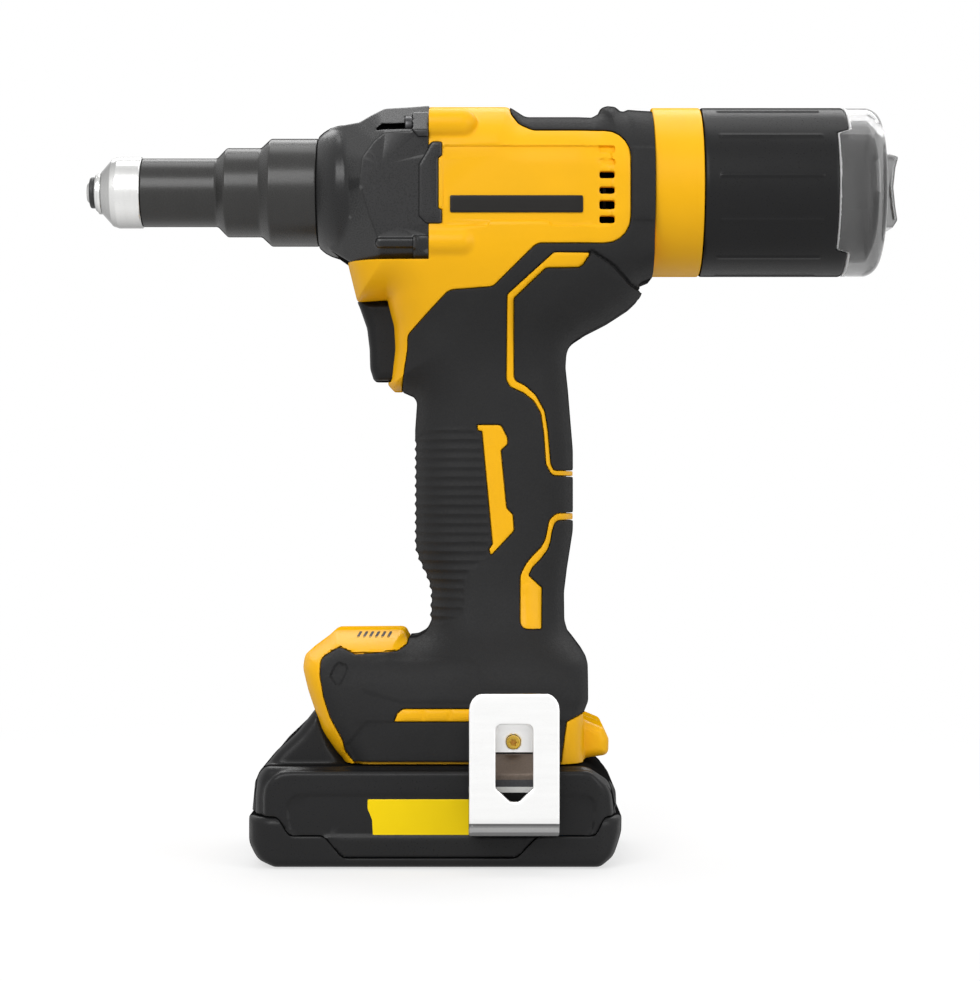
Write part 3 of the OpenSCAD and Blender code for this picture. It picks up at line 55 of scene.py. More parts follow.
# The photograph: a level camera that looks along +Y at the middle of the tool
IMAGE_W, IMAGE_H = 980, 981
PX_PER_MM = 3.2
CAMERA_FAR = 800
VIEW_X, VIEW_Z = 16.5, 112.5
SENSOR = 36


def corners(node):
    """Lowest and highest corner of a CAD node in millimetres."""
    return [np.array(corner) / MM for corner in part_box(node)]


# How far the edges of cap, nose and gear case stand behind those of the solids
CAP_SHIFT, NOSE_SHIFT, CASE_SHIFT = 0.5, 1.3, 1.2
# Joint of gear case and housing, and top of the pack
JOINT_X, PACK_H = -2, 30

# Places that the frame gives
cap_low, cap_high = corners("nose_cap")
AXIS = (cap_low[2] + cap_high[2]) / 2
CAP_X, NOSE_X = cap_low[0] + CAP_SHIFT, cap_high[0] + NOSE_SHIFT
CASE_X = corners("nose_housing")[1][0] + CASE_SHIFT
TIP_X, TIP_END = (corner[0] for corner in corners("nosepiece"))
MOUNT_X = corners("housing_left")[1][0]
SLEEVE_X = corners("collector_mount")[1][0]
CUP_X = corners("collector_sleeve")[1][0]
FOOT_Z = corners("housing_left")[0][2]
trigger_low, trigger_high = corners("trigger")
hook_low, hook_high = corners("belt_hook")
pack_low, pack_high = corners("battery_lower_shell")

# Depth at picture rows, of the near side of the tool and of the edge where its outline turns away
NEAR = ((100, 130, 250, 300, 340, 560, 620, 650, 690, 770),
        (-24, -28, -28, -22, -20, -18, -19, -28, -32, -32))
EDGE = ((100, 280, 340, 610, 650, 780), (-10, -8, -4, -4, -21, -21))
# Depth of the pack's side and of the hook's free leg
PACK_SIDE, HOOK_SIDE = -37, -50
# Surfaces with more triangles than this are thinned
MOST_TRIANGLES = 80000


def seen(points, depth=NEAR):
    """Places in the XZ plane of points of the photograph, at one depth or at depths by rows."""
    places = []
    for px, py, *fillet in points:
        y = np.interp(py, *depth) if isinstance(depth, tuple) else depth
        scale = (CAMERA_FAR + y) / CAMERA_FAR / PX_PER_MM
        places.append((VIEW_X + (px - IMAGE_W / 2) * scale, VIEW_Z - (py - IMAGE_H / 2) * scale, *fillet))
    return places


def rounded(points, steps=5):
    """A closed outline with an arc at each corner that has a fillet."""
    result = []
    for i, (x, z, *fillet) in enumerate(points):
        corner = np.array((x, z))
        back = np.array(points[i - 1][:2]) - corner
        ahead = np.array(points[(i + 1) % len(points)][:2]) - corner
        room = 0.48 * min(np.linalg.norm(back), np.linalg.norm(ahead))
        back, ahead = back / np.linalg.norm(back), ahead / np.linalg.norm(ahead)
        half = math.acos(np.clip(back @ ahead, -1, 1)) / 2
        if not fillet or half > 1.55:
            result.append(corner)
            continue
        reach = min(fillet[0] / math.tan(half), room)
        r = reach * math.tan(half)
        centre = corner + (back + ahead) / np.linalg.norm(back + ahead) * r / math.sin(half)
        start, end = corner + back * reach - centre, corner + ahead * reach - centre
        first = math.atan2(start[1], start[0])
        sweep = (math.atan2(end[1], end[0]) - first + math.pi) % (2 * math.pi) - math.pi
        for k in range(steps + 1):
            angle = first + sweep * k / steps
            result.append(centre + r * np.array((math.cos(angle), math.sin(angle))))
    return np.array(result)


def polygon_distance(points, x, z):
    """Distance of places to a closed outline, negative inside."""
    best = np.full(np.broadcast(x, z).shape, 1e9)
    inside = np.zeros(best.shape, bool)
    for a, b in zip(points, np.roll(points, -1, axis=0)):
        edge = b - a
        along = np.clip(((x - a[0]) * edge[0] + (z - a[1]) * edge[1]) / (edge @ edge), 0, 1)
        best = np.minimum(best, (x - a[0] - along * edge[0]) ** 2 + (z - a[1] - along * edge[1]) ** 2)
        crossing = a[0] + (z - a[1]) * edge[0] / (edge[1] or 1)
        inside ^= ((a[1] <= z) != (b[1] <= z)) & (x < crossing)
    return np.where(inside, -1, 1) * np.sqrt(best)


class Outline:
    """Distance to the union of some outlines of the side view, looked up on a fine grid."""
    STEP = 0.3
    MARGIN = 6

    def __init__(self, *pictures, depth=NEAR):
        outlines = [rounded(seen(points, depth)) for points in pictures]
        every = np.concatenate(outlines)
        self.span = every.min(0), every.max(0)
        self.low = every.min(0) - self.MARGIN
        size = ((every.max(0) + self.MARGIN - self.low) / self.STEP).astype(int) + 2
        x = self.low[0] + self.STEP * np.arange(size[0])[:, None]
        z = self.low[1] + self.STEP * np.arange(size[1])[None, :]
        self.grid = np.minimum.reduce([polygon_distance(points, x, z) for points in outlines])

    def __call__(self, x, z):
        u, v = (x - self.low[0]) / self.STEP, (z - self.low[1]) / self.STEP
        m, n = self.grid.shape
        cu, cv = np.clip(u, 0, m - 1.001), np.clip(v, 0, n - 1.001)
        i, j = cu.astype(int), cv.astype(int)
        i, j = np.broadcast_arrays(i, j)
        fu, fv = cu - i, cv - j
        low = self.grid[i, j] * (1 - fu) + self.grid[i + 1, j] * fu
        high = self.grid[i, j + 1] * (1 - fu) + self.grid[i + 1, j + 1] * fu
        return low * (1 - fv) + high * fv + self.STEP * np.hypot(u - cu, v - cv)


class Curve:
    """A smooth curve through a table of places and values."""
    STEP = 0.5

    def __init__(self, *table, spread=3):
        places, values = zip(*table)
        reach = 4 * spread
        self.places = np.arange(places[0] - reach, places[-1] + reach, self.STEP)
        offsets = np.arange(-reach, reach + self.STEP, self.STEP)
        weights = np.exp(-(offsets / spread) ** 2 / 2)
        weights /= weights.sum()
        self.values = sum(w * np.interp(self.places + o, places, values) for o, w in zip(offsets, weights))

    def __call__(self, place):
        return np.interp(place, self.places, self.values)


def smax(a, b, k):
    """The larger of two distances, with a fillet of about k where they meet."""
    h = np.maximum(k - np.abs(a - b), 0) / k
    return np.maximum(a, b) + h * h * k / 4


def smin(a, b, k):
    """The smaller of two distances, with such a fillet."""
    return -smax(-a, -b, k)


def both(*distances):
    """Distance to what several forms share."""
    return functools.reduce(np.maximum, distances)


def either(*distances):
    """Distance to several forms together."""
    return functools.reduce(np.minimum, distances)


def inside(distance, blend=0.6):
    """One inside an outline, zero outside, with a soft step over its edge."""
    t = np.clip(0.5 - distance / blend, 0, 1)
    return t * t * (3 - 2 * t)


def ease(value, start, end):
    """A soft step from zero at the start to one at the end."""
    t = np.clip((value - start) / (end - start), 0, 1)
    return t * t * (3 - 2 * t)


def joined(a, b, r):
    """Both distances together, with a round edge of radius r."""
    return np.hypot(np.maximum(a + r, 0), np.maximum(b + r, 0)) + np.minimum(np.maximum(a, b) + r, 0) - r


def box(x, y, z, low, high, r=0):
    """Distance to a box with round edges."""
    places = [np.abs(p - (a + b) / 2) - (b - a) / 2 + r for p, a, b in zip((x, y, z), low, high)]
    out = np.sqrt(sum(np.maximum(p, 0) ** 2 for p in places))
    return out + np.minimum(np.maximum.reduce(np.broadcast_arrays(*places)), 0) - r


def rod(x, y, z, x0, x1, radius, edge=0.0):
    """Distance to a rod along the barrel's axis."""
    return joined(np.hypot(y, z - AXIS) - radius, np.abs(x - (x0 + x1) / 2) - (x1 - x0) / 2, edge)


def slab(outline, y0, y1):
    """Corners of the box round an outline of the side view, between two depths."""
    (x0, z0), (x1, z1) = outline.span
    return (x0, y0, z0), (x1, y1, z1)


def surface_nets(values):
    """Vertices in cells and quads of the zero surface of a grid of distances, with edges kept sharp."""
    sign = values < 0
    cube = list(itertools.product((0, 1), repeat=3))
    shape = [n - 1 for n in values.shape]
    count = sum(sign[i:i + shape[0], j:j + shape[1], k:k + shape[2]].astype(np.int8) for i, j, k in cube)
    cells = np.argwhere((count > 0) & (count < 8))
    index = np.full(shape, -1, np.int64)
    index[tuple(cells.T)] = np.arange(len(cells))
    corner = {c: values[tuple((cells + c).T)] for c in cube}
    total, hits = np.zeros((len(cells), 3)), np.zeros(len(cells))
    for axis in range(3):
        step = np.eye(3, dtype=int)[axis]
        for c in cube:
            if c[axis]:
                continue
            a, b = corner[c], corner[tuple(np.array(c) + step)]
            cross = (a < 0) != (b < 0)
            share = np.where(cross, a / np.where(cross, a - b, 1), 0)
            total += cross[:, None] * (np.array(c) + share[:, None] * step)
            hits += cross
    middle = total / hits[:, None]
    slopes = np.gradient(values)
    normal_sums, plane_sums = np.zeros((len(cells), 3, 3)), np.zeros((len(cells), 3))
    for c in cube:
        at = tuple((cells + c).T)
        normal = np.stack([s[at] for s in slopes], 1)
        length = np.linalg.norm(normal, axis=1, keepdims=True) + 1e-9
        normal = normal / length
        gap = (normal * (np.array(c) - middle)).sum(1) - corner[c] / length[:, 0]
        weight = 1 / (0.3 + np.abs(corner[c]) / length[:, 0])
        normal_sums += weight[:, None, None] * normal[:, :, None] * normal[:, None, :]
        plane_sums += (weight * gap)[:, None] * normal
    shift = np.linalg.solve(normal_sums + 0.15 * np.eye(3), plane_sums[:, :, None])[:, :, 0]
    vertices = cells + np.clip(middle + np.clip(shift, -0.6, 0.6), 0.02, 0.98)
    quads = []
    for axis in range(3):
        u, v = (axis + 1) % 3, (axis + 2) % 3
        ahead = np.moveaxis(sign, (axis, u, v), (0, 1, 2))
        spots = np.argwhere(ahead[:-1, 1:-1, 1:-1] != ahead[1:, 1:-1, 1:-1])
        edge = np.zeros((len(spots), 3), int)
        edge[:, axis], edge[:, u], edge[:, v] = spots[:, 0], spots[:, 1] + 1, spots[:, 2] + 1
        around = []
        for du, dv in ((0, 0), (1, 0), (1, 1), (0, 1)):
            cell = edge.copy()
            cell[:, u] -= du
            cell[:, v] -= dv
            around.append(index[tuple(cell.T)])
        quad = np.stack(around, 1)
        leaving = sign[tuple(edge.T)]
        quads.append(np.where(leaving[:, None], quad, quad[:, ::-1]))
    return vertices, np.concatenate(quads)


def settle(points, field, pitch, steps=2):
    """Moves points onto the zero surface of a field."""
    small = 0.02
    for _ in range(steps):
        value = field(*points.T)
        slope = np.stack([(field(*(points + step).T) - field(*(points - step).T)) / (2 * small)
                          for step in small * np.eye(3)], 1)
        move = value[:, None] * slope / np.maximum((slope ** 2).sum(1), 0.25)[:, None]
        points = points - np.clip(move, -pitch / 3, pitch / 3)
    return points


def new_mesh(name, points, faces):
    """A smooth mesh from points in millimetres and quads or a list of faces."""
    mesh = bpy.data.meshes.new(name)
    mesh.from_pydata((np.asarray(points) * MM).tolist(), [], np.asarray(faces).tolist()
                     if isinstance(faces, np.ndarray) else faces)
    mesh.polygons.foreach_set("use_smooth", np.ones(len(mesh.polygons), bool))
    mesh.set_sharp_from_angle(angle=math.radians(40))
    mesh.update()
    return mesh


def thinned(name, points, quads):
    """Points and triangles of a large surface with fewer faces where it is flat."""
    mesh = bpy.data.meshes.new(name)
    mesh.from_pydata(points.tolist(), [], quads.tolist())
    piece = bpy.data.objects.new(name, mesh)
    bpy.context.scene.collection.objects.link(piece)
    modifier = piece.modifiers.new("thin", "DECIMATE")
    modifier.ratio = MOST_TRIANGLES / (2 * len(quads))
    thin = piece.evaluated_get(bpy.context.evaluated_depsgraph_get()).to_mesh()
    points = np.array([vertex.co for vertex in thin.vertices])
    faces = [tuple(polygon.vertices) for polygon in thin.polygons]
    bpy.data.objects.remove(piece)
    bpy.data.meshes.remove(mesh)
    return points, faces


def place(name, mesh, material, body, slot, *nodes):
    """Puts a mesh in the scene as a piece that rides on a body and stands for CAD nodes."""
    piece = bpy.data.objects.new(name, mesh)
    bpy.context.scene.collection.objects.link(piece)
    mesh.materials.append(material)
    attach(piece, body)
    if nodes:
        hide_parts(*nodes)
    return piece


def sculpt(name, field, low, high, pitch, material, body, slot, *nodes):
    """A piece whose surface is where a field is zero, found on a grid from low to high with a pitch."""
    grids = [np.arange(a - 1.5 * pitch, b + 2 * pitch, pitch) for a, b in zip(low, high)]
    x, y, z = grids[0][:, None, None], grids[1][None, :, None], grids[2][None, None, :]
    values = np.ascontiguousarray(np.broadcast_to(field(x, y, z), [len(g) for g in grids]), np.float32)
    values = np.where(np.abs(values) < 1e-4, 1e-4, values)
    points, quads = surface_nets(values)
    points = settle(points * pitch + [g[0] for g in grids], field, pitch)
    if 2 * len(quads) > MOST_TRIANGLES:
        points, quads = thinned(name, points, quads)
    return place(name, new_mesh(name, points, quads), material, body, slot, *nodes)


def turned(name, profile, material, body, slot, *nodes, steps=96):
    """A piece turned about the barrel's axis from a closed profile of (x, radius, fillet)."""
    outline = rounded(profile)
    support = 0.15
    rings = []
    for a, b in zip(outline, np.roll(outline, -1, axis=0)):
        length = np.linalg.norm(b - a)
        rings.append(a)
        if length > 4 * support:
            rings += [a + (b - a) * support / length, b + (a - b) * support / length]
    rings = np.array(rings)
    angles = 2 * math.pi * np.arange(steps) / steps
    points = np.stack([np.repeat(rings[:, 0], steps), np.outer(rings[:, 1], np.sin(angles)).ravel(),
                       AXIS + np.outer(rings[:, 1], np.cos(angles)).ravel()], 1)
    faces = []
    for i, k in itertools.product(range(len(rings)), range(steps)):
        j, m = (i + 1) % len(rings), (k + 1) % steps
        faces.append((i * steps + k, i * steps + m, j * steps + m, j * steps + k))
    return place(name, new_mesh(name, points, faces), material, body, slot, *nodes)


def coil(name, node, start, wire, turns, body):
    """A spring of one wire in a CAD spring's place, from a start along X to that spring's far end."""
    low, high = corners(node)
    middle, radius = (low + high) / 2, (high[1] - low[1]) / 2
    steps, sides = 16, 6
    share = np.linspace(0, 1, turns * steps + 1)[:, None]
    ring = 2 * math.pi * np.arange(sides)[None, :] / sides
    away = radius - wire / 2 + wire / 2 * np.cos(ring)
    along = start + wire / 2 + (high[0] - start - wire) * share + wire / 2 * np.sin(ring)
    turn = 2 * math.pi * turns * share
    across, up = middle[1] + away * np.cos(turn), middle[2] + away * np.sin(turn)
    points = np.stack([along, across, up], -1).reshape(-1, 3)
    faces = [tuple(range(sides)), tuple(reversed(range(len(points) - sides, len(points))))]
    for i, k in itertools.product(range(turns * steps), range(sides)):
        m = (k + 1) % sides
        faces.append(((i + 1) * sides + k, (i + 1) * sides + m, i * sides + m, i * sides + k))
    return place(name, new_mesh(name, points, faces), STEEL, body, "tool_steel", node)


def connect(tree, node, sockets):
    """Sets sockets of a shader node, each to a value or to an output that is linked to it."""
    for socket, value in sockets.items():
        if isinstance(value, bpy.types.NodeSocket):
            tree.links.new(value, node.inputs[socket])
        else:
            node.inputs[socket].default_value = value
    return node


def add_node(tree, kind, sockets=None, **settings):
    """A new shader node with its settings and sockets."""
    node = tree.nodes.new("ShaderNode" + kind)
    for setting, value in settings.items():
        setattr(node, setting, value)
    return connect(tree, node, sockets or {})


def ranged(tree, value, low, high, start, end, **settings):
    """A value that goes from low to high while another goes from start to end."""
    sockets = {"Value": value, "From Min": start, "From Max": end, "To Min": low, "To Max": high}
    return add_node(tree, "MapRange", sockets, **settings).outputs["Result"]


def mixed(tree, factor, first, second, **settings):
    sockets = {"Factor": factor, "A": first, "B": second}
    return add_node(tree, "Mix", sockets, data_type="RGBA", **settings).outputs["Result"]


def grey(level):
    return level, level, level, 1


# Finishes; facing is 0 where a surface looks at the eye and 1 where it turns away
# EDGE_FADE is the span of facing over which painted shade darkens the colour toward the outline
GLOSS_FADE, EDGE_FADE = (0.5, 0.85), (0.1, 0.75)
# Painted shade on the underside: the direction that the darkening faces, and its span
LOW_DIRECTION, LOW_FADE = (-0.4, 0, -0.92), (-0.8, 0.6)
NOISE_SPAN = (0.3, 0.7)
# Pointiness over which edges turn pale, as wear and as a painted highlight, and how pale they get
WEAR_AND_HIGHLIGHT_SPAN, WEAR_AND_HIGHLIGHT_PALE = (0.52, 0.62), 0.35
GRAIN_DEPTH = 0.2 * MM


def finish(name, colour, roughness, metallic=0.0, tint=0.06, mottle=40, rough_spread=0.08, grain=0.0,
           grain_scale=2500, stretch=(1, 1, 1), wear_and_ridge_highlight=0.0, gloss=None, edge_shade=1.0, low_shade=1.0,
           **sockets):
    """A procedural finish: colour that varies a little, uneven gloss and a fine grain.

    The gloss can fade where the surface turns away, and painted shade can darken the colour there or on the
    underside; pale edges are wear on some finishes and a painted highlight on others.
    """
    material = bpy.data.materials.new(name)
    material.use_nodes = True
    material.diffuse_color = (*colour, 1)
    tree = material.node_tree
    place_node = add_node(tree, "TexCoord")
    mapping = add_node(tree, "Mapping", {"Vector": place_node.outputs["Object"], "Scale": stretch})

    def noise(scale, detail):
        inputs = {"Vector": mapping.outputs["Vector"], "Scale": scale, "Detail": detail}
        return add_node(tree, "TexNoise", inputs).outputs["Fac"]

    shade = mixed(tree, ranged(tree, noise(mottle, 4), 0, 1, *NOISE_SPAN),
                  (*[c * (1 - tint) for c in colour], 1), (*[min(1, c * (1 + tint)) for c in colour], 1))
    # Pale edges by pointiness: wear on the nose and screws, a painted highlight along the gear case's ridges
    if wear_and_ridge_highlight:
        edges = add_node(tree, "NewGeometry").outputs["Pointiness"]
        worn_and_lit_edge = (*[min(1, WEAR_AND_HIGHLIGHT_PALE + c) for c in colour], 1)
        shade = mixed(tree, ranged(tree, edges, 0, wear_and_ridge_highlight, *WEAR_AND_HIGHLIGHT_SPAN), shade, worn_and_lit_edge)
    facing = add_node(tree, "LayerWeight").outputs["Facing"]
    # Painted shade: the colour darkens where the surface turns away from the eye
    if edge_shade < 1:
        away = ranged(tree, facing, 0, 1, *EDGE_FADE)
        shade = mixed(tree, away, shade, grey(edge_shade), blend_type="MULTIPLY")
    # Painted shade on the underside: the colour darkens where the surface faces down
    if low_shade < 1:
        normal = add_node(tree, "NewGeometry").outputs["Normal"]
        turn = add_node(tree, "VectorMath", {0: normal, 1: LOW_DIRECTION}, operation="DOT_PRODUCT")
        below = ranged(tree, turn.outputs["Value"], 0, 1, *LOW_FADE)
        shade = mixed(tree, below, shade, grey(low_shade), blend_type="MULTIPLY")
    fine = noise(grain_scale, 2)
    rough = ranged(tree, fine, roughness - rough_spread, roughness + rough_spread, *NOISE_SPAN)
    inputs = {"Metallic": metallic, "Base Color": shade, "Roughness": rough}
    inputs.update({socket.replace("_", " "): value for socket, value in sockets.items()})
    if gloss is not None:
        inputs["Specular IOR Level"] = ranged(tree, facing, gloss, 0, *GLOSS_FADE)
    if grain:
        bump = add_node(tree, "Bump", {"Strength": grain, "Distance": GRAIN_DEPTH, "Height": fine})
        inputs["Normal"] = bump.outputs["Normal"]
    connect(tree, tree.nodes["Principled BSDF"], inputs)
    return material


YELLOW = finish("yellow_nylon", (0.93, 0.472, 0.004), 0.38, grain=0.10, tint=0.03, gloss=0.2)
LABEL_YELLOW = finish("label_yellow", (0.97, 0.69, 0.003), 0.42, grain=0.05, tint=0.03,
                      Specular_IOR_Level=0.15)
RUBBER = finish("grip_rubber", (0.021, 0.021, 0.0215), 0.62, grain=0.35, grain_scale=1800, tint=0.12,
                gloss=0.14)
DARK = finish("dark_nylon", (0.012, 0.012, 0.0125), 0.34, grain=0.10, tint=0.10, gloss=0.15)
# The gear case's edges turn pale as a painted highlight along its ridges.
CASE_DARK = finish("gear_case_nylon", (0.011, 0.011, 0.0115), 0.3, grain=0.02, tint=0.10, wear_and_ridge_highlight=0.16,
                   gloss=0.34)
PACK = finish("pack_nylon", (0.011, 0.011, 0.0115), 0.34, grain=0.10, tint=0.12, gloss=0.2)
STRIP = finish("strip_print", (0.010, 0.009, 0.008), 0.38, grain=0.05, tint=0.08, Specular_IOR_Level=0.2)
NOSE = finish("black_oxide", (0.024, 0.0235, 0.0225), 0.28, grain=0.03, tint=0.08, stretch=(6, 1, 1),
              wear_and_ridge_highlight=0.08, gloss=0.4)
# The turned steel darkens toward its outline as painted shade.
BRIGHT = finish("turned_steel", (0.78, 0.78, 0.77), 0.24, metallic=1.0, grain=0.03, tint=0.04,
                stretch=(14, 1, 1), edge_shade=0.3)
HOOK = finish("brushed_steel", (0.88, 0.88, 0.875), 0.34, metallic=1.0, grain=0.05, tint=0.02,
              stretch=(1, 1, 12))
# Painted light on the hook, as steel colours set by height: down the inner leg a painted shadow line,
# painted reflections in brown-grey and grey, a painted highlight line and painted shade deep in the bend;
# across the lower bend painted shade with a paler band
LEG_PAINTED_LIGHT = ((0.02, 0.02, 0.02), (0.15, 0.12, 0.1), (0.07, 0.07, 0.075), (0.62, 0.62, 0.61),
              (0.012, 0.012, 0.012))
BEND_PAINTED_LIGHT = ((0.16, 0.16, 0.16), (0.3, 0.3, 0.3), (0.42, 0.42, 0.42), (0.22, 0.22, 0.22))
HOOK_PAINTED_LIGHT = [finish(f"hook_steel_painted_light_{k}", shade, 0.6, metallic=1.0, grain=0.05, tint=0.05)
               for k, shade in enumerate(LEG_PAINTED_LIGHT + BEND_PAINTED_LIGHT)]
STEEL = finish("tool_steel", (0.45, 0.45, 0.46), 0.32, metallic=1.0, grain=0.05, tint=0.08)
BLACK_STEEL = finish("black_screw_steel", (0.05, 0.05, 0.052), 0.36, metallic=0.8, grain=0.05, tint=0.1,
                     wear_and_ridge_highlight=0.3)
ZINC = finish("yellow_zinc", (1.0, 0.62, 0.06), 0.33, grain=0.05)
# The smoky cup darkens on its underside as painted shade.
SMOKE = finish("smoky_polycarbonate", (0.5, 0.5, 0.5), 0.06, tint=0.03, rough_spread=0.02, low_shade=0.3,
               Transmission_Weight=0.93, IOR=1.45)
# A painted highlight for the cup's edge, paler and less clear than the smoky body
EDGE_HIGHLIGHT_FINISH = finish("painted_edge_highlight", (0.7, 0.7, 0.7), 0.35, tint=0.03, Transmission_Weight=0.25, IOR=1.45)
SEAL = finish("seal_rubber", (0.015, 0.015, 0.015), 0.5, grain=0.1, tint=0.1)
SLOT_FINISHES = {
    "yellow_plastic": YELLOW, "grip_rubber": RUBBER, "dark_plastic": DARK, "nose_black": NOSE,
    "pack_plastic": PACK, "bright_steel": BRIGHT, "tool_steel": STEEL, "black_steel": BLACK_STEEL,
    "zinc_steel": ZINC, "smoke_clear": SMOKE, "seal_rubber": SEAL,
    "cast_alloy": finish("cast_alloy", (0.5, 0.5, 0.5), 0.45, metallic=1.0, grain=0.2, tint=0.08),
    "lamination_steel": finish("lamination_steel", (0.22, 0.22, 0.23), 0.4, metallic=1.0,
                               stretch=(20, 1, 1), tint=0.25),
    "copper": finish("enamelled_copper", (0.55, 0.20, 0.07), 0.3, metallic=1.0, stretch=(1, 1, 8), tint=0.2),
    "lens_clear": finish("lens_polycarbonate", (0.9, 0.9, 0.88), 0.08, tint=0.02, rough_spread=0.02,
                         Transmission_Weight=0.8, IOR=1.5),
    "wire_jacket": finish("wire_jacket", (0.30, 0.03, 0.025), 0.45, grain=0.05),
    "cell_can": finish("cell_sleeve", (0.05, 0.16, 0.35), 0.35, tint=0.08),
    "board_green": finish("circuit_board", (0.02, 0.15, 0.05), 0.4, tint=0.15, mottle=300)}
for subpart in frame["record"]["subparts"]:
    mesh = frame["nodes"][subpart["node"]].data
    mesh.materials.clear()
    mesh.materials.append(SLOT_FINISHES[subpart["material_slot"]])

# Outlines of the side view: points of the photograph, each with its corner's fillet in millimetres
silhouette = Outline([
    (330, 109), (508, 109, 4), (525, 120, 4), (591, 120, 1.5), (598, 116, 1), (601, 109.5, 2),
    (607, 107.3, 2), (615, 107.5, 2), (620, 111.5, 1), (624, 111.5, 0.6), (628, 109.4, 1.5), (650, 109.8),
    (760, 109.8), (760, 277.5), (652, 277.5, 1), (641, 282, 1.5), (637.5, 285.5, 0.5),
    (638.5, 288.5, 0.8), (636.5, 296, 3), (628, 304.5, 4), (606, 319.5, 12), (585, 331, 12),
    (570, 342, 6), (565, 352, 8), (564.5, 368, 10), (567, 390, 20), (572, 450, 30), (572, 530, 16),
    (566, 568, 20), (563, 592, 12), (563.5, 620, 6), (567, 632, 6), (574, 641, 6), (585, 656, 4),
    (587, 664, 5), (587, 700, 3), (583, 710, 3), (583, 785), (350, 785), (346, 760, 6), (337, 750, 10),
    (323, 730, 12), (309, 690, 14), (303, 668, 5), (304, 655, 3), (324, 640, 3), (335, 630, 3),
    (404, 629.5, 2), (407, 640, 1.5), (417, 638.5, 3), (426, 633, 3), (431, 624, 3), (432, 590, 8),
    (428, 577, 8), (420, 560, 8), (416, 548, 8), (416, 430, 10), (418, 402, 3), (414, 396, 2),
    (404, 391.5, 2), (394, 391.5, 1), (388, 385, 1), (394, 350, 10), (394, 328, 10), (388, 301, 0.5),
    (358, 303, 1), (349.5, 268, 1.5), (346, 250), (330, 250)], depth=EDGE)
WINDOW = [
    (330, 80), (505, 80), (511.5, 112, 3), (519, 122, 3), (533, 128.5, 4), (631, 128.5, 8), (631, 243, 8),
    (537, 243, 4), (493, 287, 3), (449, 290.5, 4), (407.5, 334.5, 3), (407, 350), (402.5, 378, 3),
    (399.5, 396), (330, 398)]
FOOT_FRONT = [
    (407, 620), (407, 642), (406, 645.8, 1), (397, 651.8, 2), (354.7, 654.7, 2), (339, 647.3, 2),
    (320, 659, 3), (319.7, 676, 5), (323.5, 698, 8), (330, 718, 8), (342.5, 740.6, 3), (344.7, 751.8, 2),
    (354.7, 764), (354.7, 790), (280, 790), (280, 620)]
HEEL_AREA = [(566.8, 721.7), (582.4, 715), (640, 715), (640, 790), (540, 790), (561, 765)]
UPPER_ACCENT = [
    (507, 295, 1.5), (506.3, 379.6, 1.5), (510, 386.7, 2), (523.7, 392.9, 3), (534, 401, 4),
    (541, 413, 4), (544, 433.7, 8), (546, 464, 2), (552, 475.5, 2), (590, 476.6), (590, 470.4),
    (554, 470.4, 1), (551, 464, 2), (548, 429.6, 8), (545, 411, 4), (536, 395, 4), (525.7, 385.7, 4),
    (515.5, 380.6, 2), (514, 376.5, 1), (514, 299, 1), (546, 268.4, 1), (578.8, 268, 1),
    (582.9, 265.3, 1), (591.4, 252.4, 0.6), (554, 252, 2)]
LOWER_ACCENT = [
    (590, 513.2), (556.7, 513.2, 3), (549.3, 519.8, 3), (546.4, 534.5, 6), (544.9, 540.3, 4),
    (541.3, 546.9, 4), (531.8, 556.4, 4), (525.9, 563.7, 4), (520.1, 575, 5), (520.1, 629.2, 2.4),
    (541.7, 629.2, 0.5), (542, 587.9, 0.5), (528.6, 575.4, 0.5), (532.5, 567.4, 4), (540.6, 559.3, 4),
    (547.9, 549.8, 4), (550.8, 541, 4), (552.3, 531.5, 4), (555.9, 520.5, 2), (590, 520.1)]
accent_face = Outline([(524.5, 581, 1), (539.5, 591, 0.5), (539.5, 626, 0.5), (524.5, 626, 1)])
INLAY = [
    (476.9, 424.6, 0.3), (501, 424.6, 1.5), (507.6, 438, 2), (507.6, 444.4, 0.5), (501, 450.3, 0.8),
    (506.6, 508.1, 1), (513, 514.7, 1.5), (514.2, 530.8, 1.5), (490.8, 555.7, 0.3), (488.9, 549.1, 0.3),
    (492.5, 544, 0.3), (482, 431.2, 0.3), (477.6, 430.5, 0.3)]
FOOT_STRIP = [(403, 708.7, 1.2), (490, 708.7), (490, 721.7), (393.8, 721.7, 0.3), (397.5, 713, 1)]
yellow_area = Outline(WINDOW, FOOT_FRONT, HEEL_AREA, UPPER_ACCENT, LOWER_ACCENT, INLAY, FOOT_STRIP)
accents = Outline(UPPER_ACCENT, LOWER_ACCENT, INLAY, FOOT_STRIP)
strip_pads = Outline(*[[(a, 711.4, 0.5), (b, 711.4, 0.5), (b, 719.4, 0.5), (a - 2, 719.4, 0.5)]
                       for a, b in ((405, 421.5), (427, 448), (453.5, 470))])
rib_panel = Outline([
    (400, 440), (417, 438.6), (424.5, 428.5, 1), (470, 427.5, 4), (481, 440, 3), (489, 540, 3),
    (485, 557, 3), (468.5, 573, 3), (463.5, 582, 3), (463, 616, 3), (440, 624), (400, 624)])
window_panel = Outline([
    (443, 146, 0.6), (600, 146, 2), (612, 150, 2), (612, 225.7, 1), (552, 225.7, 0.5), (547, 221, 0.5),
    (490, 221, 0.5), (486.6, 225.7, 0.5), (443, 226, 0.6)])
window_strip = Outline([(450, 195.5, 0.4), (583, 195.5, 0.4), (583, 212.5, 0.4), (450, 212.5, 0.4)])
VENT_ROWS = ((145, 152), (158.6, 164.6), (171, 178), (186.5, 193.5), (200, 209), (215.5, 223))
VENT_COLUMNS = (599.5, 615)
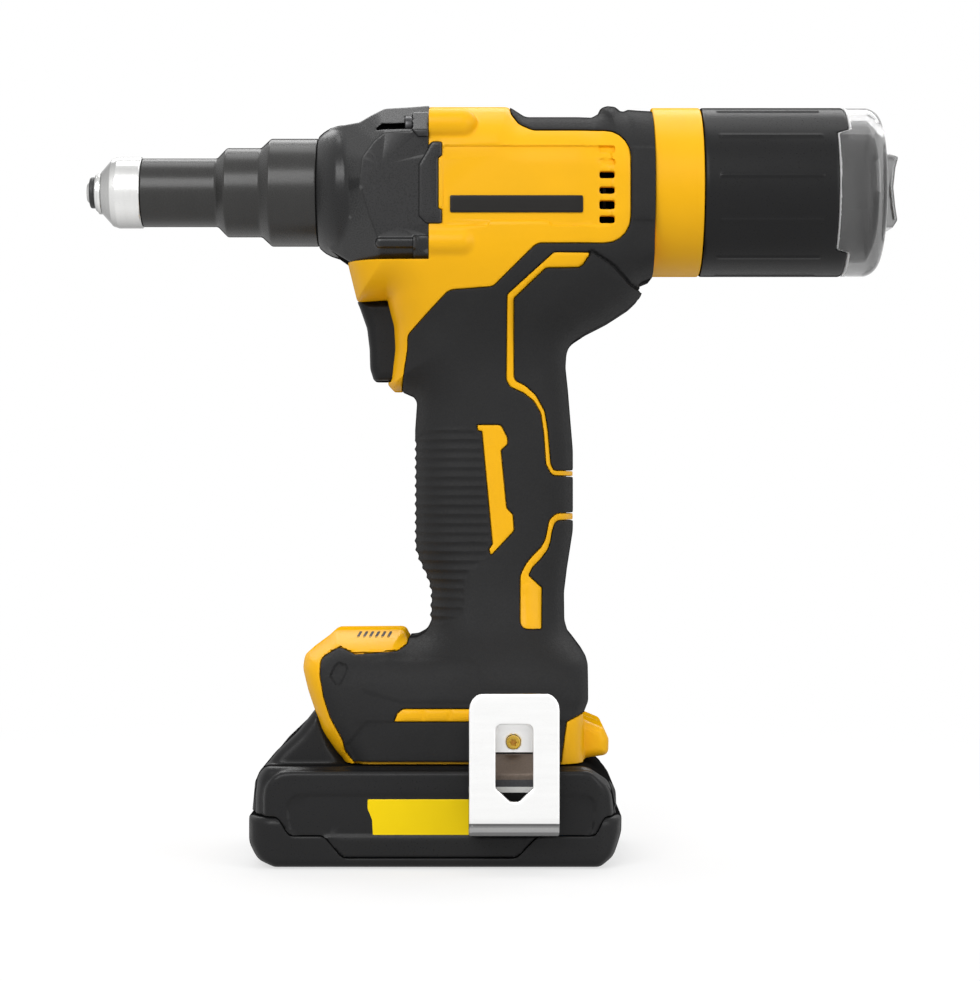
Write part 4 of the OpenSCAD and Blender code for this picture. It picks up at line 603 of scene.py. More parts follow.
hump = Outline([
    (591.4, 252.4), (613, 266.5, 4), (629.5, 283.5, 3), (638.5, 288), (670, 290), (670, 400), (514, 400),
    (514, 299), (546, 268.4), (578.8, 268), (582.9, 265.3)])
collar_panel = Outline([(633.5, 146, 0.3), (670, 146, 0.3), (670, 219.5, 0.3), (633.5, 219.5, 0.3)])
foot_ledge = Outline([(366, 721.7), (600, 721.7), (600, 764), (356, 764), (347, 745)])
foot_dimple = Outline([(330, 676, 1.2), (337, 662, 1.2), (349, 666, 1.2), (339, 688, 1.2)])
pad_slits = Outline(*[[(px, 636.5), (px + 3, 636.5), (px + 6, 631), (px + 3, 631)]
                      for px in range(357, 393, 6)], depth=-12)
foot_brow = Outline([(360, 690, 2), (402, 702, 3), (480, 702), (480, 660, 4), (372, 660, 4)])
case_side = Outline([
    (330, 128), (361, 126.5, 2), (386, 113, 3), (413, 111.5, 1), (428, 110), (460, 110), (460, 264.5),
    (352, 264.5, 1), (342, 258), (330, 250)], depth=-8)
case_face = Outline([
    (361, 186, 3), (360.4, 177.6, 3), (362.6, 158, 2), (374.6, 141.7, 2), (384.5, 133.5, 2), (413, 131.5),
    (470, 131), (470, 254), (384, 254, 2), (376.7, 234, 3), (370, 216.7, 4)])
case_slot = Outline([
    (376, 126.5, 0.4), (382, 122.4, 0.4), (413, 121.8, 0.4), (413, 128.6, 0.4), (376, 129, 0.4)])
case_bar = Outline([
    (374, 243.2, 1.2), (378, 238.6, 1.2), (415, 238.6, 0.6), (415, 247.8, 0.6), (378, 247.8, 1.2)])
case_ends = Outline(
    [(412, 110, 0.4), (440, 110, 0.4), (440, 137, 0.4), (418, 137, 0.4), (412, 130, 0.4)],
    [(413, 236, 0.4), (440, 236, 0.4), (440, 262, 0.4), (413, 262, 0.4)])
tongue = Outline([
    (418.8, 165.1, 0.6), (432.1, 142.1, 0.6), (441.8, 142.1, 0.6), (441.8, 155.4, 0.4),
    (438.1, 157.9, 0.4), (438.1, 208.8, 0.4), (441.8, 210, 0.4), (441.8, 223.3, 0.6), (426, 223.3, 0.6),
    (418.8, 216, 0.6)])
trigger_side = Outline([
    (357, 300.5, 0.8), (361, 310, 3), (368, 330, 8), (370.4, 350, 8), (371, 370, 6), (375.5, 384, 1.6),
    (410, 384, 0.6), (410, 300.5, 0.6)], depth=0)
cup_tab = Outline([
    (870, 156), (888, 156, 1), (896, 158.6, 0.8), (893, 169.7, 3), (891, 189, 6), (892.8, 208, 4),
    (895, 222, 1.2), (889.6, 230.3, 1), (870, 230)], depth=0)
heel = Outline([
    (560, 700), (583, 717, 1), (602.5, 725, 2), (607.4, 736, 2), (607, 751.8, 2), (584, 755, 2),
    (580, 759.6, 2), (565, 764), (545, 764)], depth=-10)
pack_upper = Outline([
    (250, 880), (250, 800, 4), (254, 778, 5), (264, 768, 4), (588, 768, 6), (611, 784, 6), (620, 816, 3),
    (620, 880)], depth=PACK_SIDE)
pack_face = Outline([
    (262, 880), (262, 771, 8), (590, 771, 5), (612, 790, 8), (615, 815), (615, 880)], depth=PACK_SIDE)
pack_lower = Outline([
    (244.5, 817, 1), (244.5, 845, 4), (257, 861, 5), (275, 868, 3), (600, 868, 4), (614, 858, 5),
    (625, 834, 4), (625.5, 817, 1)], depth=PACK_SIDE)
PACK_SPLIT = (
    (230, 817), (278, 817), (288, 836), (324, 836), (342, 858), (517, 858), (538, 836), (597, 836),
    (604, 817), (640, 817))
label_recess = Outline([(285, 795, 4), (598, 795, 4), (592, 836, 3), (291, 836, 3)], depth=PACK_SIDE)
label_patch = Outline([
    (367.5, 799.6), (500, 799.6), (500, 839.5), (373, 839.5), (372, 820), (367.5, 809)], depth=PACK_SIDE)
pack_ramp = Outline([
    (253, 812), (256, 780, 2), (262, 770, 4), (278, 750, 10), (299, 730, 8), (316, 708, 1.5),
    (322, 708, 1), (334, 742, 3), (352, 768), (352, 812)], depth=-20)
pack_bump = Outline([
    (585, 790), (598, 779, 1.5), (608, 779, 3), (616, 790, 4), (617, 816, 1), (585, 816)], depth=-25)
hook_leg = Outline([(469, 692.5, 5), (559.5, 692.5, 5), (559.5, 900), (469, 900)], depth=HOOK_SIDE)
hook_window = Outline([
    (495.5, 724, 1.8), (533, 724, 1.8), (533, 788, 0.6), (519, 801.5, 1.2), (510, 801.5, 1.2),
    (495.5, 788, 0.6)], depth=HOOK_SIDE)

# Housing and grip: one outer form, cut into yellow areas and rubber
SKIN, SKIN_GAP, WALL = 1.8, 0.1, 2.2
SEAM, SPLIT, SPLIT_OVER = 0.12, 0.05, 0.5
RUBBER_UP, RIB_PITCH, RIB_UP, RIB_SUNK = 0.3, 2.85, 0.5, 0.35
# Areas that stand up, or lie lower where negative: outline, height and blend at the edge
HOUSING_RELIEF = ((accents, 0.2, 0.6), (window_panel, -0.6, 0.4), (accent_face, 0.3, 0.6),
                  (strip_pads, 0.35, 0.5))
GRIP_RELIEF = ((foot_ledge, -0.45, 0.8), (foot_brow, 0.35, 1.6), (foot_dimple, -0.9, 0.5),
               (collar_panel, 0.4, 0.5))
PAD_SIDE, PAD_HEIGHT, PAD_GROOVE, PAD_GROOVE_HALF = (3, 10), (146, 168), 0.7, 0.4
REAR_START, REAR_HEIGHT, REAR_EDGE, REAR_IN = 42, (182, 196), 24, 2
SPINE_HALF, SPINE_END, SPINE_LOW = 13, 48, AXIS + 10
RING_SHIFT = 1.45
RING_X = MOUNT_X - RING_SHIFT
FOOT_BOTTOM, FOOT_LINE = FOOT_Z - 0.75, FOOT_Z - 0.1
CASE_FLOOR = 182.4
# Half width, and radius of the round side edge, by height
BODY_HALF = Curve((31, 32), (47, 33), (57, 32), (63, 28), (70, 21.5), (80, 19.4), (100, 18.4), (135, 18),
                  (150, 19.2), (163, 21.8), (172, 25.2), (183, 28.2), (193, 29), (232, 29))
BODY_EDGE = Curve((31, 9), (55, 10), (68, 13), (80, 15), (180, 15), (195, 16.5), (232, 16.5))
BODY_LOW, BODY_HIGH = (-45, 0, 30.5), (69, 35, 233)
BOSS_Y, BOSS_Z, BOSS_R, BOSS_END = 25.4, 17.8, 4.7, 8
HEEL_HALF, HEEL_EDGE, HEEL_GAP = 21, 3, 0.3
VENT_DEPTH, VENT_INNER = 1.1, 20
TONGUE_GAP, TONGUE_SEAT = 0.15, 23.6
# Housing screws, driven from the right: place along X and Z, and where the head seats along Y
SCREWS = ((-11.7, 177.3, 21.4), (13, 178, 23.2), (-2, 141, 9.6), (34.5, 111.9, 9.6), (-24.3, 54.1, 26),
          (36, 58, 21.4), (61, 221.1, 21.7), (61, 189.4, 21.4))
SCREW_RECESS, SCREW_RIM, SCREW_BOSS, SCREW_HOLE, SCREW_TIP = 3.3, 0.5, 5.2, 1.7, -9
RAIL_END, RAIL_HALF, RAIL_TOP = 38.3, 22.5, 38
TRIGGER_ROOM = 0.35
POCKET_LOW = trigger_low - (20, TRIGGER_ROOM, TRIGGER_ROOM)
POCKET_HIGH = trigger_high + (8, TRIGGER_ROOM, TRIGGER_ROOM)


def body_form(x, y, z):
    """Outer form of housing and grip together."""
    rear = ease(x, REAR_START, MOUNT_X)
    half = BODY_HALF(z) - REAR_IN * rear
    edge = BODY_EDGE(z)
    edge = edge + (REAR_EDGE - edge) * rear * ease(z, *REAR_HEIGHT)
    return joined(silhouette(x, z), np.abs(y) - half, edge)


def yellow_form(x, y, z):
    """Distance to the yellow areas: those of the side view, the spine along the top and the underside."""
    spine = both(np.abs(y) - SPINE_HALF, x - SPINE_END, SPINE_LOW - z)
    return either(yellow_area(x, z), spine, z - FOOT_LINE)


def raised(form, areas, x, z):
    """A form with the relief of some areas of the side view."""
    for area, up, blend in areas:
        form = form - up * inside(area(x, z), blend)
    return form


def heel_form(x, y, z):
    return joined(heel(x, z), np.abs(y) - HEEL_HALF, HEEL_EDGE)


def shared_cuts(form, x, y, z):
    """Cuts that housing and grip share: joint faces, trigger pocket and rail slot."""
    form = smax(form, x - RING_X + SPLIT, 0.3)
    form = smax(form, FOOT_BOTTOM - z, 0.3)
    form = smax(form, -both(x - JOINT_X, CASE_FLOOR - z), 0.3)
    form = smax(form, -box(x, y, z, POCKET_LOW, POCKET_HIGH, 1), 0.4)
    return smax(form, -both(x - RAIL_END, np.abs(y) - RAIL_HALF, z - RAIL_TOP), 0.3)


def vent_form(x, z, rows):
    """Distance to some of the vent slots, seen from the side."""
    left, right = (seen([(px, rows[0][0])])[0][0] for px in VENT_COLUMNS)
    slots = [[seen([(VENT_COLUMNS[0], py)])[0][1] for py in row] for row in rows]
    heights = either(*[np.abs(z - (a + b) / 2) - (a - b) / 2 for a, b in slots])
    return joined(both(left - x, x - right), heights, 0.7)


def screw_lines(x, z):
    """Distance from the nearest housing screw's line, and the place of its seat."""
    away = np.stack(np.broadcast_arrays(*[np.hypot(x - a, z - b) for a, b, _ in SCREWS]))
    seat = np.array([s for _, _, s in SCREWS])[away.argmin(0)]
    return away.min(0), seat


def housing_form(side):
    """Field of a housing half: yellow areas and a base under the rubber, hollow, with bosses and heel."""
    def field(x, y, z):
        body = body_form(x, y, z)
        yellow = smax(raised(body, HOUSING_RELIEF, x, z), yellow_form(x, y, z) + SEAM, 0.35)
        form = either(body + SKIN + SKIN_GAP, yellow)
        boss = np.hypot(np.abs(y) - BOSS_Y, np.abs(z - AXIS) - BOSS_Z)
        boss = np.hypot(boss, np.maximum(x - BOSS_END, 0)) - BOSS_R
        form = smin(form, both(boss, JOINT_X - x), 0.9)
        form = smin(form, heel_form(x, y, z), 1.0)
        away, seat = screw_lines(x, z)
        form = smax(form, -smax(body + SKIN + WALL, SCREW_BOSS - away, 1), 0.6)
        form = shared_cuts(form, x, y, z)
        form = smax(form, -joined(vent_form(x, z, VENT_ROWS[:2]), -body - VENT_DEPTH, 0.1), 0.3)
        form = smax(form, -joined(vent_form(x, z, VENT_ROWS[2:]), VENT_INNER - np.abs(y), 0.1), 0.4)
        form = smax(form, -joined(tongue(x, z) - TONGUE_GAP, TONGUE_SEAT - np.abs(y), 0.1), 0.3)
        form = both(form, either(SCREW_HOLE - away, y - SCREW_TIP))
        if side > 0:
            form = smax(form, -both(away - SCREW_RECESS, seat - y), 0.3)
        return smax(form, SPLIT - side * y, 0.25)
    return field


def grip_form(side):
    """Field of the rubber on a housing half, with its ribs, ledges and pad."""
    def field(x, y, z):
        body = body_form(x, y, z)
        wave = 0.5 + 0.5 * np.cos(2 * math.pi * z / RIB_PITCH)
        relief = RUBBER_UP + inside(rib_panel(x, z), 1.2) * (RIB_UP * wave ** 2 - RIB_SUNK)
        pad, edge = ease(np.abs(y), *PAD_SIDE) * ease(z, *PAD_HEIGHT), hump(x, z)
        groove = inside(np.abs(edge - PAD_GROOVE_HALF) - PAD_GROOVE_HALF, 0.5)
        relief = relief + pad * inside(edge, 0.6) - PAD_GROOVE * pad * groove
        form = smax(raised(body - relief, GRIP_RELIEF, x, z), SEAM - yellow_form(x, y, z), 0.5)
        form = smax(form, -(body + SKIN), 0.2)
        form = smax(form, HEEL_GAP - heel_form(x, y, z), 0.3)
        form = shared_cuts(form, x, y, z)
        if side > 0:
            form = smax(form, SCREW_RECESS + SCREW_RIM - screw_lines(x, z)[0], 0.4)
        return smax(form, SPLIT - side * y, 0.25)
    return field


for side, name in ((-1, "left"), (1, "right")):
    low, high = np.array(BODY_LOW), np.array(BODY_HIGH)
    low[1], high[1] = (-SPLIT_OVER, high[1]) if side > 0 else (-high[1], SPLIT_OVER)
    sculpt(f"housing_{name}_shell", housing_form(side), low, high, 0.62, YELLOW,
           "tool", "yellow_plastic", f"housing_{name}")
    sculpt(f"grip_{name}_skin", grip_form(side), low, high, 0.54, RUBBER,
           "tool", "grip_rubber", f"grip_{name}")

# Dark pieces let into the surface: thin dark sheets in both shoulders of the foot's pad, painted shade in
# place of slits that are not cut, and a strip on the left
SLIT_Y, SLIT_HALF, SLIT_SUNK, SLIT_THICK = 12, 7, 0.1, 0.17
STRIP_TOP, STRIP_FLOOR = 0.05, 0.6


def slit_form(x, y, z):
    skin = np.abs(body_form(x, y, z) + SLIT_SUNK) - SLIT_THICK
    return joined(both(pad_slits(x, z), np.abs(np.abs(y) - SLIT_Y) - SLIT_HALF), skin, 0.05)


def strip_form(x, y, z):
    body = body_form(x, y, z)
    return both(joined(window_strip(x, z), both(body + STRIP_TOP, -(body + STRIP_FLOOR)), 0.1), y)


# The pad's slits are painted shade: dark sheets, with nothing cut
sculpt("pad_slits", slit_form, *slab(pad_slits, -20, 20), 0.24, DARK, "tool", "dark_plastic")
sculpt("window_strip", strip_form, *slab(window_strip, -30, -26), 0.4, STRIP, "tool", "dark_plastic")


# Half lengths of the heads and shanks of the screws in the gear case and in the pack
SCREW_HEAD, SCREW_SHANK = 1.1, 9


def sunk_screws(away, up, head_r, shank_r, shank_middle, recess_r, recess):
    """Distance to screws with a round recess; away is from their lines, and up is from the head's face."""
    head = joined(away - head_r, np.abs(up - SCREW_HEAD) - SCREW_HEAD, 0.3)
    shank = joined(away - shank_r, np.abs(up - shank_middle) - SCREW_SHANK, 0.3)
    return smax(either(head, shank), -both(away - recess_r, up - recess), 0.1)


# Gear case: a dome behind the nose that turns into flat sides with facets round them
CASE_BOX = (-48.5, -30.5, 181), (3, 30.5, 233)
CASE_SCREW_BOX = (-10, -26, AXIS - 21), (11, 26, AXIS + 21)
CASE_HALF, CASE_EDGE, FACET = 29.1, 6, 1.3
DOME = Curve((-41, 14.6), (-37, 17.1), (-35.2, 18.8), (-33, 20), (-30.4, 20.8), (-26, 21.1), (2, 21.1),
             spread=0.6)
DOME_LEAN, DOME_SPREAD, DOME_RUN = 0.8, 0.1, 7
BAR_UP, ENDS_UP, ENDS_OVER, SLOT_DEPTH = 1.1, 0.8, 0.5, 2.6
PLATE_TOP, PLATE_FLOOR = 29.55, 24
CASE_SCREW_Y, CASE_SCREW_Z, CASE_SCREW_X = 22.5, 17.75, -7
CASE_POCKET_R, CASE_POCKET_HALF, CASE_HOLE = 3, 1.3, 1.9
# Room for the keys of the jaw case, which slide in the nose and the gear case
KEY_REACH, KEY_HALF, KEY_START, KEY_END = 10.4, 2.4, -65, -33
# Along the barrel's axis: start, end and radius of the spigot in the nose and of the bores
SPIGOT = (-48, -30, 12.5)
CASE_BORES = ((-50, 4, 8.6), (-33.5, 4, 13.35), (-12, 4, 18.2), (-8, 4, 20.2))


def case_screw_lines(y, z):
    return np.hypot(np.abs(y) - CASE_SCREW_Y, np.abs(z - AXIS) - CASE_SCREW_Z)


def case_form(x, y, z):
    wide, side = np.abs(y), case_side(x, z)
    form = joined(side, wide - CASE_HALF, CASE_EDGE)
    facet = (wide - CASE_HALF + FACET * np.maximum(case_face(x, z), 0)) / math.hypot(1, FACET)
    form = smax(form, facet, 0.4)
    spread = 1 + DOME_SPREAD * ease(x, CASE_X, CASE_X + DOME_RUN)
    form = smin(form, (np.hypot(y / spread, z - AXIS) - DOME(x)) * DOME_LEAN, 0.7)
    form = smin(form, joined(case_bar(x, z), form - BAR_UP, 0.7), 0.5)
    form = smin(form, joined(case_ends(x, z), both(form - ENDS_UP, side - ENDS_OVER), 0.4), 0.3)
    form = smax(form, -joined(case_slot(x, z), -form - SLOT_DEPTH, 0.3), 0.4)
    form = smax(form, x - JOINT_X + SPLIT, 0.3)
    form = smax(form, CASE_X - x, 0.5)
    form = either(form, joined(tongue(x, z), both(wide - PLATE_TOP, PLATE_FLOOR - wide), 0.5))
    form = smin(form, rod(x, y, z, *SPIGOT, 0.3), 0.2)
    away = case_screw_lines(y, z)
    pocket = joined(away - CASE_POCKET_R, np.abs(x - CASE_SCREW_X + SCREW_HEAD) - CASE_POCKET_HALF, 0.2)
    keyway = both(wide - KEY_REACH, np.abs(z - AXIS) - KEY_HALF, x - KEY_END)
    form = both(form, -pocket, either(CASE_HOLE - away, x - CASE_SCREW_X), -keyway)
    return both(form, *[-rod(x, y, z, *bore) for bore in CASE_BORES])


def case_screws_form(x, y, z):
    return sunk_screws(case_screw_lines(y, z), x - CASE_SCREW_X + 2 * SCREW_HEAD, head_r=2.8, shank_r=1.6,
                       shank_middle=10.7, recess_r=1.3, recess=1)


sculpt("case_screws_short", case_screws_form, *CASE_SCREW_BOX, 0.4, BLACK_STEEL,
       "tool", "black_steel", "case_screws")
sculpt("gear_case_shell", case_form, *CASE_BOX, 0.52, CASE_DARK, "tool", "dark_plastic", "gear_case")

# Nose, turned from profiles of (x, radius, fillet)
NOSE_BORE = 8.1
NOSE_END, CAP_END, TIP_SHOULDER = CASE_X - 0.06, NOSE_X - 0.05, CAP_X - 0.03
COLLAR, SEAL_W = TIP_X + 2.7, 1.75
SEAL_START, SEAL_END = COLLAR - SEAL_W, COLLAR - 0.02
NOSE_PROFILE = [
    (NOSE_X, NOSE_BORE, 0.2), (NOSE_X, 10.65, 0.4), (-68.5, 10.65, 1.5), (-65.4, 13.85, 1.2),
    (-54.75, 13.85, 1.5), (-51.6, 16.75, 1.2), (NOSE_END, 16.75, 0.5), (NOSE_END, 12.65),
    (CASE_X - 11.3, 12.65), (CASE_X - 11.3, KEY_REACH), (KEY_START, KEY_REACH), (KEY_START, NOSE_BORE)]
CAP_PROFILE = [
    (CAP_X, 5.1), (CAP_X, 6.7, 0.2), (CAP_X + 3.4, 10.5, 0.8), (CAP_X + 5.2, 11.1, 0.8),
    (CAP_END, 11.1, 0.5), (CAP_END, NOSE_BORE), (CAP_X + 4, NOSE_BORE), (CAP_X + 4, 5.1)]
TIP_PROFILE = [
    (TIP_X, 1.55, 0.3), (TIP_X, 2.7, 0.4), (TIP_X + 0.5, 3.2, 0.3), (SEAL_START, 3.7, 0.1), (COLLAR, 3.7),
    (COLLAR, 5.6, 0.3), (COLLAR + 0.5, 6, 0.3), (COLLAR + 0.9, 6, 0.1), (COLLAR + 0.9, 6.7, 0.2),
    (TIP_SHOULDER, 6.7, 0.2), (TIP_SHOULDER, 5), (CAP_X + 4, 5, 0.3), (CAP_X + 5, 3.6),
    (TIP_END - 0.6, 3.6, 0.2), (TIP_END, 2.5), (TIP_END, 1.55)]
SEAL_PROFILE = [(SEAL_START, 3.75), (SEAL_START, 4.85, 0.7), (SEAL_END, 4.85, 0.7), (SEAL_END, 3.75)]
turned("nose_housing_turned", NOSE_PROFILE, NOSE, "tool", "nose_black", "nose_housing")
turned("nose_cap_turned", CAP_PROFILE, BRIGHT, "tool", "bright_steel", "nose_cap")
turned("nosepiece_turned", TIP_PROFILE, BRIGHT, "tool", "bright_steel", "nosepiece")
turned("nosepiece_seal_ring", SEAL_PROFILE, SEAL, "tool", "seal_rubber", "nosepiece_seal")

# Collector: mount ring, ribbed sleeve, clear cup
RING_R, NECK_R, COLLECTOR_BORE, PAST = 26.2, 22, 19.5, 10
SLEEVE_START, SLEEVE_GAP, SLEEVE_WALL = SLEEVE_X - RING_SHIFT, 0.3, 2.2
NECK_SHIFT, NECK_HALF, RIM = 2, 4.4, 1
RING_PROFILE = [
    (MOUNT_X - 4, 2.6), (MOUNT_X - 4, 19.9, 0.3), (RING_X, 19.9), (RING_X, RING_R, 0.5),
    (SLEEVE_START, RING_R, 0.6), (SLEEVE_START, NECK_R, 0.3), (SLEEVE_X - 6.6, NECK_R),
    (SLEEVE_X - 6.6, COLLECTOR_BORE), (MOUNT_X + 2.2, COLLECTOR_BORE), (MOUNT_X + 2.2, 2.6)]
turned("collector_mount_ring", RING_PROFILE, YELLOW, "tool", "yellow_plastic", "collector_mount", steps=160)
SLEEVE_BOX = (76, -27.6, AXIS - 27.6), (CUP_X + 0.5, 27.6, AXIS + 27.6)
CUP_BOX = (CUP_X - 7, -27, AXIS - 27), (CUP_X + 18, 27, AXIS + 27)
RIBS, RIB_START, RIB_LEN, RIB_HIGH, RIB_HALF = 12, 4.75, 31.4, 0.28, 0.5
COLLECTOR_TURN = math.radians(-5)
CUP_END, CUP_ROUND, CUP_GAP, CUP_IN = CUP_X + 10.9, 5, 0.12, 0.05
CUP_SPIGOT = CUP_X - 6, CUP_X + 1
# Half width of the cup's tongues, and where the sleeve ends beside them and at them, from the CAD edge
TONGUE_HALF, TONGUE_BLEND, CUP_EDGE, CUP_TONGUE = 18.2, 0.7, -0.8, -4.4
CUP_GROOVE_R, CUP_GROOVE_HALF, CUP_GROOVE = 18, 0.8, 0.9
CUP_SPIGOT_IN, CUP_HOLLOW_IN, CUP_FLOOR = 2.35, 4.4, 2.4
TAB_HALF, TAB_ROOT, HIGHLIGHT_REACH = 6, 1.8, 0.75


def sleeve_edge(y, z):
    """Place of the sleeve's end, which steps forward at the cup's tongues."""
    across = (z - AXIS) * math.cos(COLLECTOR_TURN) + y * math.sin(COLLECTOR_TURN)
    side = ease(np.abs(across), TONGUE_HALF + TONGUE_BLEND, TONGUE_HALF - TONGUE_BLEND)
    return CUP_X + CUP_EDGE + (CUP_TONGUE - CUP_EDGE) * side


def sleeve_form(x, y, z):
    r = np.hypot(y, z - AXIS)
    turn = np.arctan2(y, AXIS - z)
    sector = (turn - COLLECTOR_TURN) * RIBS / (2 * math.pi)
    across = np.abs(sector - np.round(sector)) * 2 * math.pi / RIBS * r
    along = np.abs(x - SLEEVE_START - RIB_START - RIB_LEN / 2) - RIB_LEN / 2
    rib = joined(both(across - RIB_HALF, r - RING_R - RIB_HIGH), along, 0.3)
    form = joined(r - RING_R, both(SLEEVE_START + SLEEVE_GAP - x, x - sleeve_edge(y, z)), 0.6)
    form = smin(form, both(rib, RING_R - RIM - r), 0.25)
    neck = joined(r - NECK_R + SLEEVE_GAP, np.abs(x - SLEEVE_X + NECK_SHIFT) - NECK_HALF, 0.3)
    bore = rod(x, y, z, SLEEVE_X - PAST, CUP_X + PAST, COLLECTOR_BORE)
    room = rod(x, y, z, SLEEVE_X + SLEEVE_WALL, CUP_X + PAST, RING_R - SLEEVE_WALL)
    return both(either(form, neck), -bore, -room)


def cup_form(x, y, z):
    r = np.hypot(y, z - AXIS)
    outer = joined(r - RING_R + CUP_IN, x - CUP_END, CUP_ROUND)
    outer = smax(outer, sleeve_edge(y, z) + CUP_GAP - x, 0.7)
    groove = both(CUP_END - CUP_GROOVE - x, np.abs(r - CUP_GROOVE_R) - CUP_GROOVE_HALF)
    outer = smax(outer, -groove, 0.4)
    spigot = joined(r - RING_R + CUP_SPIGOT_IN, both(CUP_SPIGOT[0] - x, x - CUP_SPIGOT[1]), 0.3)
    hollow = joined(r - RING_R + CUP_HOLLOW_IN, x - CUP_END + CUP_FLOOR, 3)
    form = both(either(outer, spigot), -hollow)
    tab = joined(cup_tab(x, z), np.abs(y) - TAB_HALF, 1.2)
    return smin(form, both(tab, CUP_END - TAB_ROOT - x), 0.8)


sculpt("collector_sleeve_shell", sleeve_form, *SLEEVE_BOX, 0.55, DARK, "collector", "dark_plastic",
       "collector_sleeve")
cup = sculpt("collector_cup_shell", cup_form, *CUP_BOX, 0.48, SMOKE, "collector", "smoke_clear",
             "collector_cup")
# Painted highlight: a paler, less clear finish on the outer rim of the cup next to the sleeve's edge
cup.data.materials.append(EDGE_HIGHLIGHT_FINISH)
for polygon in cup.data.polygons:
    px, py, pz = polygon.center / MM
    if math.hypot(py, pz - AXIS) > RING_R - RIM and px < sleeve_edge(py, pz) + HIGHLIGHT_REACH:
        polygon.material_index = 1

# Trigger; its spring and the release button's are as short as trigger and button leave them when pressed
TRIGGER_BORE, TRIGGER_BORE_R, TRIGGER_TRAVEL = 6.5, 3.95, 6
TRIGGER_Z = (trigger_low[2] + trigger_high[2]) / 2
TRIGGER_FLOOR = trigger_high[0] - TRIGGER_BORE
TRIGGER_GAP, TRIGGER_EDGE, SPRING_GAP = 0.1, 3.4, 0.1


def trigger_form(x, y, z):
    form = joined(trigger_side(x, z), np.abs(y) - (trigger_high[1] - TRIGGER_GAP), TRIGGER_EDGE)
    form = smax(form, x - trigger_high[0], 0.4)
    form = smax(form, both(trigger_low[2] - z, z - trigger_high[2]), 0.6)
    return both(form, -both(np.hypot(y, z - TRIGGER_Z) - TRIGGER_BORE_R, TRIGGER_FLOOR - x))


coil("trigger_spring_pressed", "trigger_spring", TRIGGER_FLOOR + TRIGGER_TRAVEL + SPRING_GAP, wire=0.8,
     turns=5, body="tool")
sculpt("trigger_button", trigger_form, trigger_low - 0.5, trigger_high + 0.5, 0.4, DARK, "trigger_body",
       "dark_plastic", "trigger")

# Belt hook: a bent strip with a window in its free leg, and its screw
HOOK_T, HOOK_BEND, HOOK_DROP = 2, 5, 1.3
HOOK_INNER, HOOK_STEP = -34.4, -40.4
HOOK_TOP, KNEE_TOP, KNEE_LOW = FOOT_Z + 15, FOOT_Z + 2, PACK_H - 2
HOOK_X, HOOK_HALF = (hook_low[0] + hook_high[0]) / 2, (hook_high[0] - hook_low[0]) / 2
BEND_Y, BEND_Z = HOOK_STEP - HOOK_BEND, hook_low[2] - HOOK_DROP + HOOK_T / 2 + HOOK_BEND
HOOK_HOLE = 2.2
screw_low, screw_high = corners("hook_screw")
SCREW_Z = (screw_low[2] + screw_high[2]) / 2
# Distance that leaves a form uncut
NO_CUT = -9.0


def strip_line(y, z):
    """Distance from the middle of the hook's strip, seen along X."""
    away = [np.where(z < BEND_Z, np.abs(np.hypot(y - BEND_Y, z - BEND_Z) - HOOK_BEND), 1e3)]
    path = [(HOOK_INNER, HOOK_TOP), (HOOK_INNER, KNEE_TOP), (HOOK_STEP, KNEE_LOW), (HOOK_STEP, BEND_Z)]
    free = ((BEND_Y - HOOK_BEND, BEND_Z), (BEND_Y - HOOK_BEND, hook_high[2]))
    for (ay, az), (by, bz) in [*zip(path, path[1:]), free]:
        ey, ez = by - ay, bz - az
        t = np.clip(((y - ay) * ey + (z - az) * ez) / (ey * ey + ez * ez), 0, 1)
        away.append(np.hypot(y - ay - t * ey, z - az - t * ez))
    return either(*away)


def hook_form(x, y, z):
    free = y < BEND_Y
    edge = np.where(free, hook_leg(x, z), np.abs(x - HOOK_X) - HOOK_HALF)
    form = joined(strip_line(y, z) - HOOK_T / 2, edge, 0.45)
    form = smax(form, np.where(free, z - hook_high[2], z - HOOK_TOP), 0.4)
    form = smax(form, np.where(free, -hook_window(x, z), NO_CUT), 0.4)
    hole = np.hypot(x - HOOK_X, z - SCREW_Z) - HOOK_HOLE
    return smax(form, np.where(free, NO_CUT, -hole), 0.2)


hook = sculpt("belt_hook_strip", hook_form, hook_low - (0.3, 0.3, HOOK_DROP + 0.3), hook_high + 0.3, 0.42,
              HOOK, "tool", "bright_steel", "belt_hook")
# Extra steel colours that paint shade, reflections and a highlight onto bands of the hook
for shade in HOOK_PAINTED_LIGHT:
    hook.data.materials.append(shade)
# Rows of the picture where the bands of painted shade, painted reflection and painted highlight on the inner
# leg and on the lower bend change
LEG_ROWS, BEND_ROWS = (753.6, 756, 779, 786.8, 792), (823.5, 825.5, 828, 833)
leg_heights = [seen([(0, row)], HOOK_STEP)[0][1] for row in LEG_ROWS]
bend_heights = [seen([(0, row)], HOOK_SIDE)[0][1] for row in BEND_ROWS]
for polygon in hook.data.polygons:
    _, py, pz = polygon.center / MM
    if py > BEND_Y + 1:
        polygon.material_index = sum(pz < height for height in leg_heights)
    elif pz < bend_heights[0]:
        polygon.material_index = len(LEG_PAINTED_LIGHT) + sum(pz < height for height in bend_heights)

HOOK_HEAD_R, HOOK_HEAD_CROWN, HOOK_SHANK_R = 2.1, 0.05, 1.6
LOBES, LOBE_R, LOBE_UP, LOBE_DEPTH = 6, 0.9, 0.18, 1.4


